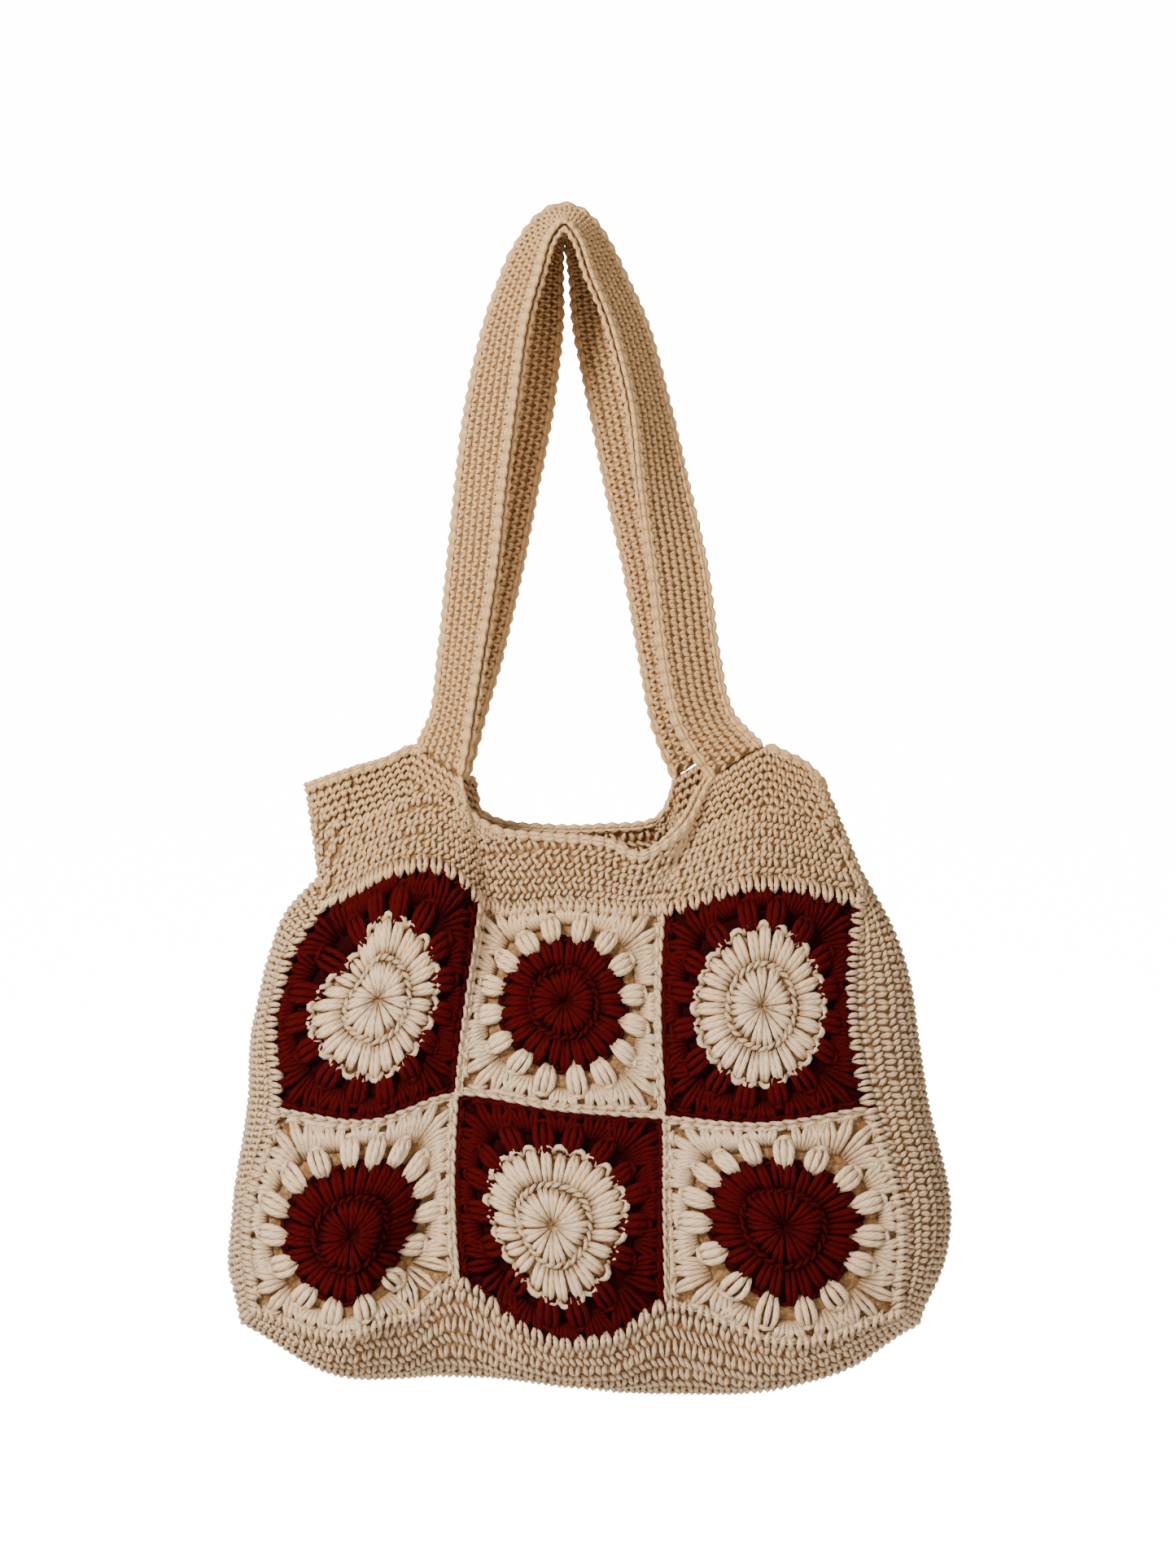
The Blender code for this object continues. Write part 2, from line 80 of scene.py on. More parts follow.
COLUMNS = ("left", "middle", "right")
LEVELS = ("upper", "lower")
SIDES = ("front", "back")
OUTWARD = {"front": -1.0, "back": 1.0}
STRAP_SPAN = {"left": (0.5, 1.0), "right": (2.0, 2.5)}

# A row for each line down the front panel, from left to right in squares; columns go down the line
PANEL_X = {
    0.0: (-0.393, -0.484, -0.482, -0.529, -0.518),
    0.5: (-0.288, -0.307, -0.323, -0.351, -0.355),
    1.0: (-0.142, -0.161, -0.175, -0.180, -0.172),
    1.5: (0.011, 0.005, -0.001, -0.014, 0.009),
    2.0: (0.171, 0.164, 0.171, 0.172, 0.174),
    2.5: (0.332, 0.335, 0.336, 0.370, 0.377),
    3.0: (0.502, 0.488, 0.520, 0.570, 0.567),
}
PANEL_DROP = {
    0.0: (0.000, 0.241, 0.467, 0.704, 0.930),
    0.5: (-0.067, 0.215, 0.494, 0.754, 0.985),
    1.0: (0.007, 0.224, 0.433, 0.652, 0.865),
    1.5: (0.000, 0.222, 0.467, 0.728, 1.004),
    2.0: (0.007, 0.241, 0.485, 0.685, 0.915),
    2.5: (-0.052, 0.233, 0.500, 0.731, 1.004),
    3.0: (-0.013, 0.231, 0.463, 0.704, 0.935),
}
PANEL_DEPTH = {
    0.0: (0.45, 0.55, 0.72, 0.80, 0.66),
    0.5: (0.74, 0.92, 0.98, 1.10, 0.88),
    1.0: (0.60, 0.72, 0.80, 0.85, 0.72),
    1.5: (0.52, 0.88, 0.98, 1.15, 0.92),
    2.0: (0.64, 0.78, 0.90, 0.98, 0.78),
    2.5: (0.80, 0.98, 1.08, 1.20, 0.92),
    3.0: (0.45, 0.60, 0.75, 0.85, 0.70),
}
BACK_DEPTH = {
    "edge": (0.45, 0.58, 0.72, 0.80, 0.66),
    "middle": (0.70, 0.92, 1.02, 1.12, 0.88),
}
# Folds: across, down, reach across, reach down, shift right, front, up
FOLDS = (
    (0.86, 0.10, 0.16, 0.34, 0.3, 0.8, 0.9),
    (1.10, 0.30, 0.09, 0.42, 0.0, -0.7, 0.0),
    (0.80, 1.72, 0.15, 0.30, 0.0, -1.2, 0.0),
    (0.55, 1.98, 0.22, 0.16, 0.0, 0.6, 0.0),
    (0.80, 2.00, 0.10, 0.10, 0.0, 0.2, -0.9),
    (1.96, 0.10, 0.10, 0.40, 0.0, -0.4, 0.0),
    (0.70, 0.00, 0.20, 0.14, 0.0, 0.0, 0.8),
    (0.00, 0.22, 0.20, 0.18, -0.5, 0.0, 0.0),
    (0.27, 0.30, 0.15, 0.18, 0.8, -0.2, -0.4),
    (1.24, 2.00, 0.15, 0.18, 0.0, 0.0, -0.5),
    (1.80, 2.00, 0.15, 0.18, 0.0, 0.0, -0.7),
)
GUSSET_RIDGE = {
    0.0: (-0.22, -0.62),
    0.12: (-0.62, -0.42),
    0.25: (-0.60, -0.16),
    0.5: (-0.42, 0.09),
    1.0: (-0.63, 0.00),
    1.5: (-0.34, 0.15),
    1.75: (-0.44, 0.18),
    2.0: (-0.30, 0.30),
    2.5: (-0.19, 0.94),
    3.0: (-0.06, 2.18),
    3.5: (0.00, 0.96),
    4.0: (0.04, 2.08),
    4.5: (0.06, 0.98),
    4.75: (0.34, 0.72),
    5.0: (0.46, 0.30),
    5.25: (0.94, 0.14),
    5.5: (1.15, 0.00),
    6.0: (1.33, 0.00),
    6.5: (1.43, 0.00),
    6.75: (1.02, -0.22),
    7.0: (0.02, -0.62),
}
RIM = {
    "front": {
        0.00: (-0.350, 0.09, 0.23),
        0.25: (-0.296, -0.04, 0.22),
        1.15: (-0.157, 0.64, 0.56),
        1.35: (-0.106, 0.93, 0.48),
        1.50: (-0.038, 1.00, 0.48),
        1.70: (0.076, 1.09, 0.60),
        1.83: (0.138, 1.28, 0.74),
        1.92: (0.210, 0.86, 0.68),
        2.75: (0.379, -0.11, 0.30),
        3.00: (0.410, 0.01, 0.23),
    },
    "back": {
        0.00: (-0.350, 0.09, 0.23),
        0.25: (-0.296, -0.04, 0.22),
        1.15: (-0.146, 0.60, 0.66),
        1.35: (-0.096, 0.84, 0.58),
        1.50: (0.000, 0.90, 0.58),
        1.70: (0.079, 0.88, 0.58),
        1.83: (0.142, 0.84, 0.60),
        1.92: (0.172, 0.68, 0.62),
        2.75: (0.379, -0.11, 0.26),
        3.00: (0.410, 0.01, 0.23),
    },
}
EAR_TIPS = {"left": (-0.70, 0.24), "right": (0.27, 0.27)}
STRAPS = {
    "front": (
        (-0.206, 1.000, 35, 31, 0.42),
        (-0.186, 0.915, 50, 8, 0.40),
        (-0.170, 0.792, 47, 2, 0.40),
        (-0.152, 0.638, 40, 0, 0.40),
        (-0.138, 0.485, 40, 0, 0.40),
        (-0.121, 0.331, 39, 0, 0.40),
        (-0.097, 0.177, 48, 0, 0.42),
        (-0.069, 0.071, 54, 3, 0.45),
        (-0.046, 0.007, 66, 11, 0.47),
        (-0.021, -0.028, 76, 17, 0.48),
        (0.004, -0.041, 90, 20, 0.48),
        (0.029, -0.028, 103, 17, 0.48),
        (0.054, 0.010, 112, 11, 0.47),
        (0.079, 0.077, 122, 3, 0.45),
        (0.116, 0.177, 126, 0, 0.42),
        (0.151, 0.331, 128, 0, 0.40),
        (0.174, 0.485, 141, 0, 0.38),
        (0.198, 0.638, 153, 0, 0.35),
        (0.215, 0.792, 154, 2, 0.35),
        (0.239, 0.915, 156, 8, 0.38),
        (0.292, 1.000, 168, 33, 0.42),
    ),
    "back": (
        (-0.203, 1.000, 35, 30, 0.42),
        (-0.179, 0.915, 45, 8, 0.40),
        (-0.151, 0.792, 36, 2, 0.40),
        (-0.121, 0.638, 30, 0, 0.38),
        (-0.095, 0.485, 30, 0, 0.38),
        (-0.069, 0.331, 30, 0, 0.38),
        (-0.051, 0.177, 36, 0, 0.40),
        (-0.043, 0.071, 50, 3, 0.45),
        (-0.032, 0.012, 65, 11, 0.47),
        (-0.019, -0.026, 77, 17, 0.48),
        (0.005, -0.036, 90, 20, 0.48),
        (0.029, -0.026, 103, 17, 0.48),
        (0.042, 0.012, 115, 11, 0.47),
        (0.058, 0.071, 130, 3, 0.45),
        (0.072, 0.177, 145, 0, 0.40),
        (0.101, 0.331, 150, 0, 0.38),
        (0.128, 0.485, 150, 0, 0.38),
        (0.158, 0.638, 150, 0, 0.38),
        (0.182, 0.792, 148, 2, 0.38),
        (0.202, 0.915, 145, 8, 0.40),
        (0.231, 1.000, 145, 29, 0.42),
    ),
}
STRAP_CROWN = 0.06
# A strand of few sides is drawn this much thicker, because its flats lie inside its radius
FEW_SIDED = 1.08
CHAIN_INSET = 0.0018
CHAIN_WIDTH = 0.0042

# Stitch motifs. Each strand is a row of points: share of the stitch along its row, share across the
# row, height over the cloth and thickness, both in millimetres
SINGLE = (
    ((-0.46, 0.42, -0.5, 1.0), (-0.25, -0.01, 1.05, 1.40), (0.02, -0.50, -0.4, 0.9)),
    ((0.46, 0.44, -0.5, 1.0), (0.28, 0.00, 0.95, 1.35), (0.06, -0.50, -0.4, 0.9)),
)
HALF_DOUBLE = (
    ((-0.34, -0.06, -0.6, 1.0), (-0.26, 0.27, 1.0, 1.45), (-0.08, 0.62, -0.4, 0.9)),
    ((0.22, -0.06, -0.6, 1.0), (0.19, 0.27, 1.0, 1.45), (0.06, 0.62, -0.4, 0.9)),
    ((-0.54, 0.57, -0.5, 0.9), (-0.25, 0.77, 1.0, 1.40), (0.03, 0.99, -0.5, 0.9)),
    ((-0.01, 0.55, -0.5, 0.9), (0.25, 0.76, 1.0, 1.40), (0.51, 0.99, -0.5, 0.9)),
)
CHAIN = (
    ((-0.25, 0.04, 0.0, 1.1), (0.38, 0.37, 1.2, 1.6), (1.04, 0.08, 0.3, 1.1)),
    ((-0.25, -0.04, 0.0, 1.1), (0.38, -0.37, 1.2, 1.6), (1.04, -0.08, 0.3, 1.1)),
)
THIN_CHAIN = (
    ((-0.25, 0.03, 0.0, 0.8), (0.38, 0.30, 0.9, 1.1), (1.04, 0.06, 0.2, 0.8)),
    ((-0.25, -0.03, 0.0, 0.8), (0.38, -0.30, 0.9, 1.1), (1.04, -0.06, 0.2, 0.8)),
)
TOOTH = (
    ((-0.32, -0.45, -0.4, 1.1), (-0.27, 0.32, 1.5, 1.50), (-0.08, 1.00, -0.4, 0.9)),
    ((0.18, -0.45, -0.4, 1.1), (0.20, 0.32, 1.5, 1.50), (0.06, 1.00, -0.4, 0.9)),
)
SCALLOP = (
    ((-0.50, -0.90, -0.2, 1.3), (-0.22, 0.25, 0.9, 1.65), (0.22, 0.25, 0.9, 1.65), (0.50, -0.90, -0.2, 1.3)),
)
SEAM = (
    ((-0.60, -0.20, -0.2, 0.8), (0.02, 0.01, 1.2, 1.2), (0.65, 0.18, -0.2, 0.8)),
)
RING = (
    ((-0.62, -0.46, -0.5, 1.0), (0.02, 0.05, 0.9, 1.35), (0.66, 0.40, -0.5, 1.0)),
)
POST = (
    ((-0.04, 0.00, -0.6, 0.6), (-0.13, 0.36, 0.9, 1.35), (-0.21, 0.74, 1.3, 1.85), (-0.20, 1.04, -0.4, 1.3)),
    ((0.04, 0.02, -0.7, 0.6), (0.14, 0.36, 0.7, 1.30), (0.22, 0.72, 1.2, 1.80), (0.20, 1.02, -0.5, 1.3)),
)
RIB = (
    ((-0.24, -0.05, -0.5, 1.2), (-0.22, 0.28, 1.1, 1.85), (-0.17, 0.68, 1.5, 2.05), (-0.10, 1.03, -0.1, 1.5)),
    ((0.24, -0.03, -0.6, 1.2), (0.23, 0.28, 0.8, 1.75), (0.19, 0.68, 1.2, 1.95), (0.12, 1.00, -0.3, 1.5)),
)


def cluster_motif():
    """A puff: strands side by side that swell in the middle, with a loop round the outer end."""
    strands = []
    for f in (-1.0, 0.0, 1.0):
        low = 1.0 - 0.32 * f * f
        strands.append((
            (f * 0.13, -0.08, -0.6, 1.3), (f * 0.24, 0.20, 2.7 * low, 2.15),
            (f * 0.24, 0.66, 2.9 * low, 2.15), (f * 0.12, 1.06, -0.3, 1.3),
        ))
    strands.append(((-0.28, 0.92, -0.3, 1.2), (0.02, 1.00, 2.0, 1.55), (0.30, 0.96, -0.3, 1.2)))
    return tuple(strands)


def fan_motif(spreads):
    """Posts of two strands that start together in a gap and open outward, each with a loop over its head."""
    strands = []
    for f in spreads:
        for side in (-1, 1):
            strands.append((
                (f * 0.45 + side * 0.030, -0.06, -0.6, 1.2), (f * 0.73 + side * 0.062, 0.47, 1.6, 1.75),
                (f * 1.02 + side * 0.015, 0.98, -0.3, 1.2),
            ))
        strands.append((
            (f * 0.95 - 0.15, 0.76, -0.2, 1.2), (f * 0.98 - 0.02, 0.88, 1.7, 1.45),
            (f * 1.04 + 0.15, 0.80, -0.2, 1.2),
        ))
    return tuple(strands)


CLUSTER = cluster_motif()
SIDE_FAN = fan_motif((-0.34, 0.0, 0.34))
CORNER_FAN = fan_motif((-0.86, -0.56, -0.22, 0.22, 0.56, 0.86))


def through(places, values, at, paired=False):
    """Read many places from a smooth curve through values; paired values have a column for each place."""
    places = np.asarray(places, float)
    values = np.asarray(values, float)
    at = np.asarray(at, float)
    last = len(places) - 1
    i = np.clip(np.searchsorted(places, at + 1e-9, side="right") - 1, 0, last - 1)
    step = places[i + 1] - places[i]
    own = np.arange(len(at))

    def pick(k):
        return values[k, own] if paired else values[k]

    def shaped(x):
        return x[:, None] if pick(i).ndim > 1 else x

    def slope(k):
        a, b = np.maximum(k - 1, 0), np.minimum(k + 1, last)
        return (pick(b) - pick(a)) / shaped(places[b] - places[a]) * shaped(step)

    t = shaped((at - places[i]) / step)
    return (
        pick(i) * (2 * t**3 - 3 * t**2 + 1) + slope(i) * (t**3 - 2 * t**2 + t)
        + pick(i + 1) * (3 * t**2 - 2 * t**3) + slope(i + 1) * (t**3 - t**2)
    )


def table_at(table, at):
    return through(list(table), list(table.values()), at)


def net_at(table, across, down):
    lines = np.array([through([0.0, 0.5, 1.0, 1.5, 2.0], row, down) for row in table.values()])
    return through(list(table), lines, across, paired=True)


def front_net(across, down):
    """Places on the front panel before it folds."""
    x = net_at(PANEL_X, across, down) * PANEL_WIDTH
    y = -net_at(PANEL_DEPTH, across, down) * HALF_DEPTH
    z = PANEL_TOP - net_at(PANEL_DROP, across, down) * PANEL_HEIGHT
    return np.stack([x, y, z], axis=1)


def front_points(across, down):
    """Places on the front panel's outer face."""
    across, down = np.asarray(across, float), np.asarray(down, float)
    points = front_net(across, down)
    for at_across, at_down, reach_across, reach_down, right, front, up in FOLDS:
        fade = np.exp(-(((across - at_across) / reach_across) ** 2) - ((down - at_down) / reach_down) ** 2)
        points += np.array([right, -front, up]) * (fade * FOLD_DEPTH)[:, None]
    return points


def back_points(across, down):
    """Places on the back panel's outer face."""
    across, down = np.asarray(across, float), np.asarray(down, float)
    share = across / 3.0
    five = [0.0, 0.5, 1.0, 1.5, 2.0]
    x = through(five, PANEL_X[0.0], down) * (1 - share) + through(five, PANEL_X[3.0], down) * share
    drop = through(five, PANEL_DROP[0.0], down) * (1 - share) + through(five, PANEL_DROP[3.0], down) * share
    edge = through(five, BACK_DEPTH["edge"], down)
    middle = through(five, BACK_DEPTH["middle"], down)
    depth = edge + (middle - edge) * np.sin(np.pi * np.clip(share, 0, 1)) ** 0.7
    return np.stack([x * PANEL_WIDTH, depth * HALF_DEPTH, PANEL_TOP - drop * PANEL_HEIGHT], axis=1)


def border_places(k):
    """Squares across and down for places along the border that the gusset follows."""
    k = np.asarray(k, float)
    across = np.where(k <= 2, 0.0, np.where(k <= 5, k - 2, 3.0))
    down = np.where(k <= 2, k, np.where(k <= 5, 2.0, 7 - k))
    return across, down


def gusset_points(k, turn):
    """Places on the gusset: squares along the border, and turn from the front edge 0 to the back 1."""
    k, turn = np.asarray(k, float), np.asarray(turn, float)
    front = front_points(*border_places(k))
    back = back_points(*border_places(k))
    edge = front_net(*border_places(k))
    reach = table_at(GUSSET_RIDGE, k) * GUSSET_REACH
    ridge = np.stack([edge[:, 0] + reach[:, 0], np.zeros(len(k)), edge[:, 2] - reach[:, 1]], axis=1)
    swing = ((1 - np.cos(np.pi * turn)) / 2)[:, None]
    return front * (1 - swing) + back * swing + (ridge - (front + back) / 2) * np.sin(np.pi * turn)[:, None]


def unit(v):
    return v / np.maximum(np.linalg.norm(v, axis=-1, keepdims=True), 1e-12)


def strap_frames(side, step):
    """Middles, width directions and outward directions of a strap at steps of its table."""
    rows = np.array(STRAPS[side], float)
    last = len(rows) - 1

    def middles(at):
        x, drop, _, _, depth = through(range(last + 1), rows, at).T
        return np.stack([x * PANEL_WIDTH, OUTWARD[side] * depth * HALF_DEPTH, -drop * STRAP_DROP], axis=1)

    step = np.asarray(step, float)
    _, _, turn, tilt, _ = np.radians(through(range(last + 1), rows, step).T)
    width = np.stack(
        [np.cos(turn) * np.cos(tilt), OUTWARD[side] * np.sin(turn) * np.cos(tilt), -np.sin(tilt)], axis=1
    )
    ahead = unit(middles(np.minimum(step + 0.05, last)) - middles(np.maximum(step - 0.05, 0)))
    outward = np.cross(width, ahead) if side == "front" else np.cross(ahead, width)
    return middles(step), width, unit(outward), ahead


def strap_end(side, hand):
    """Edge points of a strap's end, from left to right."""
    step = 0.0 if hand == "left" else len(STRAPS[side]) - 1.0
    middle, width, _, _ = strap_frames(side, [step])
    edges = [middle[0] - width[0] * STRAP_WIDTH / 2, middle[0] + width[0] * STRAP_WIDTH / 2]
    return edges if hand == "left" else edges[::-1]


def rim_points(side, across):
    """Places on the rim, in squares across."""
    rows = {
        p: (x * PANEL_WIDTH, OUTWARD[side] * depth * HALF_DEPTH, -STRAP_DROP - down * NECK_DIP)
        for p, (x, down, depth) in RIM[side].items()
    }
    for hand, (start, end) in STRAP_SPAN.items():
        rows[start], rows[end] = strap_end(side, hand)
    across = np.asarray(across, float)
    places = sorted(rows)
    points = through(places, [rows[p] for p in places], across)
    for start, end in STRAP_SPAN.values():
        on = (across >= start) & (across <= end)
        share = ((across[on] - start) / (end - start))[:, None]
        points[on] = np.array(rows[start]) * (1 - share) + np.array(rows[end]) * share
    return points


def rim_side_points(hand, turn):
    """Places on the rim over a side of the bag, from the front 0 to the back 1."""
    across = [0.0] if hand == "left" else [3.0]
    front, back = rim_points("front", across), rim_points("back", across)
    right, down = EAR_TIPS[hand]
    tip = (front + back) / 2 + np.array([right, 0, -down]) * BAND_HEIGHT
    turn = np.asarray(turn, float)
    swing = ((1 - np.cos(np.pi * turn)) / 2)[:, None]
    return front * (1 - swing) + back * swing + (tip - (front + back) / 2) * np.sin(np.pi * turn)[:, None]


def band_base(around):
    """The band's lower edge: 0 to 3 is the front, 3 to 4 the right side, 4 to 7 the back, 7 to 8 the left."""
    around = np.asarray(around, float) % 8
    zero = np.zeros(len(around))
    found = np.zeros((len(around), 3))
    for low, high, make in (
        (0, 3, lambda a, o: front_points(a, o)),
        (3, 4, lambda a, o: gusset_points(o + 7, a - 3)),
        (4, 7, lambda a, o: back_points(7 - a, o)),
        (7, 8, lambda a, o: gusset_points(o, 8 - a)),
    ):
        on = (around >= low) & (around < high)
        if on.any():
            found[on] = make(around[on], zero[on])
    return found


def band_rim(around):
    """The band's upper edge, over the same places."""
    around = np.asarray(around, float) % 8
    found = np.zeros((len(around), 3))
    for low, high, make in (
        (0, 3, lambda a: rim_points("front", a)),
        (3, 4, lambda a: rim_side_points("right", a - 3)),
        (4, 7, lambda a: rim_points("back", 7 - a)),
        (7, 8, lambda a: rim_side_points("left", 8 - a)),
    ):
        on = (around >= low) & (around < high)
        if on.any():
            found[on] = make(around[on])
    return found


def band_points(around, up):
    up = np.asarray(up, float)[:, None]
    return band_base(around) * (1 - up) + band_rim(around) * up


class Sheet:
    """A grid of places and outward directions over two parameters, read between its points."""

    def __init__(self, points, normals, low, high, closed=False):
        self.points, self.normals = points, normals
        self.low, self.high = np.array(low, float), np.array(high, float)
        self.closed = closed

    @classmethod
    def from_formula(cls, formula, low, high, counts, sign, closed=False):
        s = np.linspace(low[0], high[0], counts[0])
        t = np.linspace(low[1], high[1], counts[1])
        grid_s, grid_t = np.meshgrid(s, t, indexing="ij")
        points = formula(grid_s.ravel(), grid_t.ravel()).reshape(counts[0], counts[1], 3)
        if closed:
            after = np.concatenate([points[1:], points[1:2]], axis=0)
            ahead = after - np.concatenate([points[-2:-1], points[:-1]], axis=0)
        else:
            ahead = np.gradient(points, axis=0)
        normals = unit(np.cross(ahead, np.gradient(points, axis=1)) * sign)
        return cls(points, normals, low, high, closed)

    def smoothed(self, rounds):
        """Evens out the outward directions, so that sharp turns spread the strands."""
        n = self.normals
        for _ in range(rounds):
            if self.closed:
                ring = n[:-1]
                ring = ring + np.roll(ring, 1, axis=0) + np.roll(ring, -1, axis=0)
                n = np.concatenate([ring, ring[:1]], axis=0)
            else:
                n = n + np.concatenate([n[1:], n[-1:]], axis=0) + np.concatenate([n[:1], n[:-1]], axis=0)
            after = np.concatenate([n[:, 1:], n[:, -1:]], axis=1)
            before = np.concatenate([n[:, :1], n[:, :-1]], axis=1)
            n = unit(n + after + before)
        self.normals = n
        return self

    def inside(self, depth):
        """The same cloth seen from its other face."""
        return Sheet(self.points - self.normals * depth, -self.normals, self.low, self.high, self.closed)

    def read(self, s, t):
        ns, nt = self.points.shape[:2]
        s = (s - self.low[0]) / (self.high[0] - self.low[0])
        if self.closed:
            s = s % 1.0
        t = (t - self.low[1]) / (self.high[1] - self.low[1])
        fs, ft = s * (ns - 1), t * (nt - 1)
        i = np.clip(np.floor(fs).astype(int), 0, ns - 2)
        j = np.clip(np.floor(ft).astype(int), 0, nt - 2)
        a, b = (fs - i)[..., None], (ft - j)[..., None]

        def mix(grid):
            near = grid[i, j] * (1 - b) + grid[i, j + 1] * b
            far = grid[i + 1, j] * (1 - b) + grid[i + 1, j + 1] * b
            return near * (1 - a) + far * a

        return mix(self.points), unit(mix(self.normals))

    def at(self, s, t, height):
        points, normals = self.read(s, t)
        return points + normals * height[..., None]

    def warped(self, s, t, low, high, closed=False):
        """A sheet on this one whose grid runs over the given places of it."""
        points, normals = self.read(s, t)
        return Sheet(points, normals, low, high, closed)


class Yarn:
    """Strands gathered for one piece, and the plain faces that lie under them."""

    def __init__(self, seed):
        self.random = np.random.RandomState(seed)
        self.strands = []
        self.grounds = []

    def lay(self, sheet, motif, s, t, along, across, lift=0.0, fat=1.0, loose=0.05, height=1.0):
        """Lays a motif at many places of a sheet; along and across are its two steps in the parameters."""
        s, t = np.broadcast_arrays(np.asarray(s, float), np.asarray(t, float))
        count = s.size
        s, t = s.ravel(), t.ravel()
        along = [np.broadcast_to(np.asarray(x, float), (count,)) for x in along]
        across = [np.broadcast_to(np.asarray(x, float), (count,)) for x in across]
        wander = self.random.uniform(-loose, loose, (4, count))
        swell = 1 + self.random.uniform(-0.06, 0.06, count)
        s = s + wander[0] * along[0] + wander[1] * across[0]
        t = t + wander[0] * along[1] + wander[1] * across[1]
        for strand in motif:
            a, b, h, r = np.array(strand, float).T
            a = a[None, :] * (1 + wander[2][:, None])
            b = b[None, :] * (1 + wander[3][:, None])
            ss = s[:, None] + a * along[0][:, None] + b * across[0][:, None]
            tt = t[:, None] + a * along[1][:, None] + b * across[1][:, None]
            hh = (lift + h[None, :] * height) * MM + np.zeros_like(ss)
            points = sheet.at(ss, tt, hh)
            radii = r[None, :] * fat * swell[:, None] * MM
            # Painted shade: the points of a strand that lie lower over the cloth get a lower level, which
            # darkens their colour toward the shade colour.
            painted_lightness = np.clip(0.30 + h * 0.62, 0.05, 1.0)[None, :] + np.zeros_like(ss)
            self.strands.append((points, np.broadcast_to(radii, ss.shape), painted_lightness))

    def ground(self, sheet, counts, depth, thick, low=None, high=None):
        """A thin closed wall under the strands, coloured all in painted shade."""
        low = sheet.low if low is None else np.array(low, float)
        high = sheet.high if high is None else np.array(high, float)
        s = np.linspace(low[0], high[0], counts[0] + 1)
        t = np.linspace(low[1], high[1], counts[1] + 1)
        grid_s, grid_t = np.meshgrid(s, t, indexing="ij")
        flat = np.zeros_like(grid_s)
        top = sheet.at(grid_s, grid_t, flat - depth * MM)
        under = sheet.at(grid_s, grid_t, flat - (depth + thick) * MM)
        self.grounds.append((top, under))

    def bare_mesh(self):
        """All strands as bare lines, with their thickness and their level of painted shade."""
        points = np.concatenate([p.reshape(-1, 3) for p, _, _ in self.strands])
        radii = np.concatenate([r.ravel() for _, r, _ in self.strands])
        painted_lightness = np.concatenate([c.ravel() for _, _, c in self.strands])
        edges, start = [], 0
        for p, _, _ in self.strands:
            m, n = p.shape[:2]
            index = start + np.arange(m * n).reshape(m, n)
            edges.append(np.stack([index[:, :-1].ravel(), index[:, 1:].ravel()], axis=1))
            start += m * n
        edges = np.concatenate(edges)
        mesh = bpy.data.meshes.new("strands")
        mesh.vertices.add(len(points))
        mesh.vertices.foreach_set("co", points.ravel())
        mesh.edges.add(len(edges))
        mesh.edges.foreach_set("vertices", edges.ravel())
        for name, values in (("thick", radii), ("painted_lightness", painted_lightness)):
            mesh.attributes.new(name, "FLOAT", "POINT").data.foreach_set("value", values)
        mesh.update()
        return mesh

    def ground_faces(self):
        """Points, faces and count of the thin walls."""
        points, faces, start = [], [], 0
        for top, under in self.grounds:
            m, n = top.shape[:2]
            index = start + np.arange(m * n).reshape(m, n)
            below = index + m * n
            upper = (index[:-1, :-1], index[1:, :-1], index[1:, 1:], index[:-1, 1:])
            lower = (below[:-1, :-1], below[:-1, 1:], below[1:, 1:], below[1:, :-1])
            quads = [np.stack(corners, axis=-1).reshape(-1, 4) for corners in (upper, lower)]
            for row, sign in ((0, 1), (-1, -1)):
                side = np.stack([index[row, :-1], index[row, 1:], below[row, 1:], below[row, :-1]], axis=-1)
                quads.append(side[:, ::sign])
                side = np.stack([index[1:, row], index[:-1, row], below[:-1, row], below[1:, row]], axis=-1)
                quads.append(side[:, ::sign])
            points += [top.reshape(-1, 3), under.reshape(-1, 3)]
            faces += quads
            start += 2 * m * n
        return points, faces, start


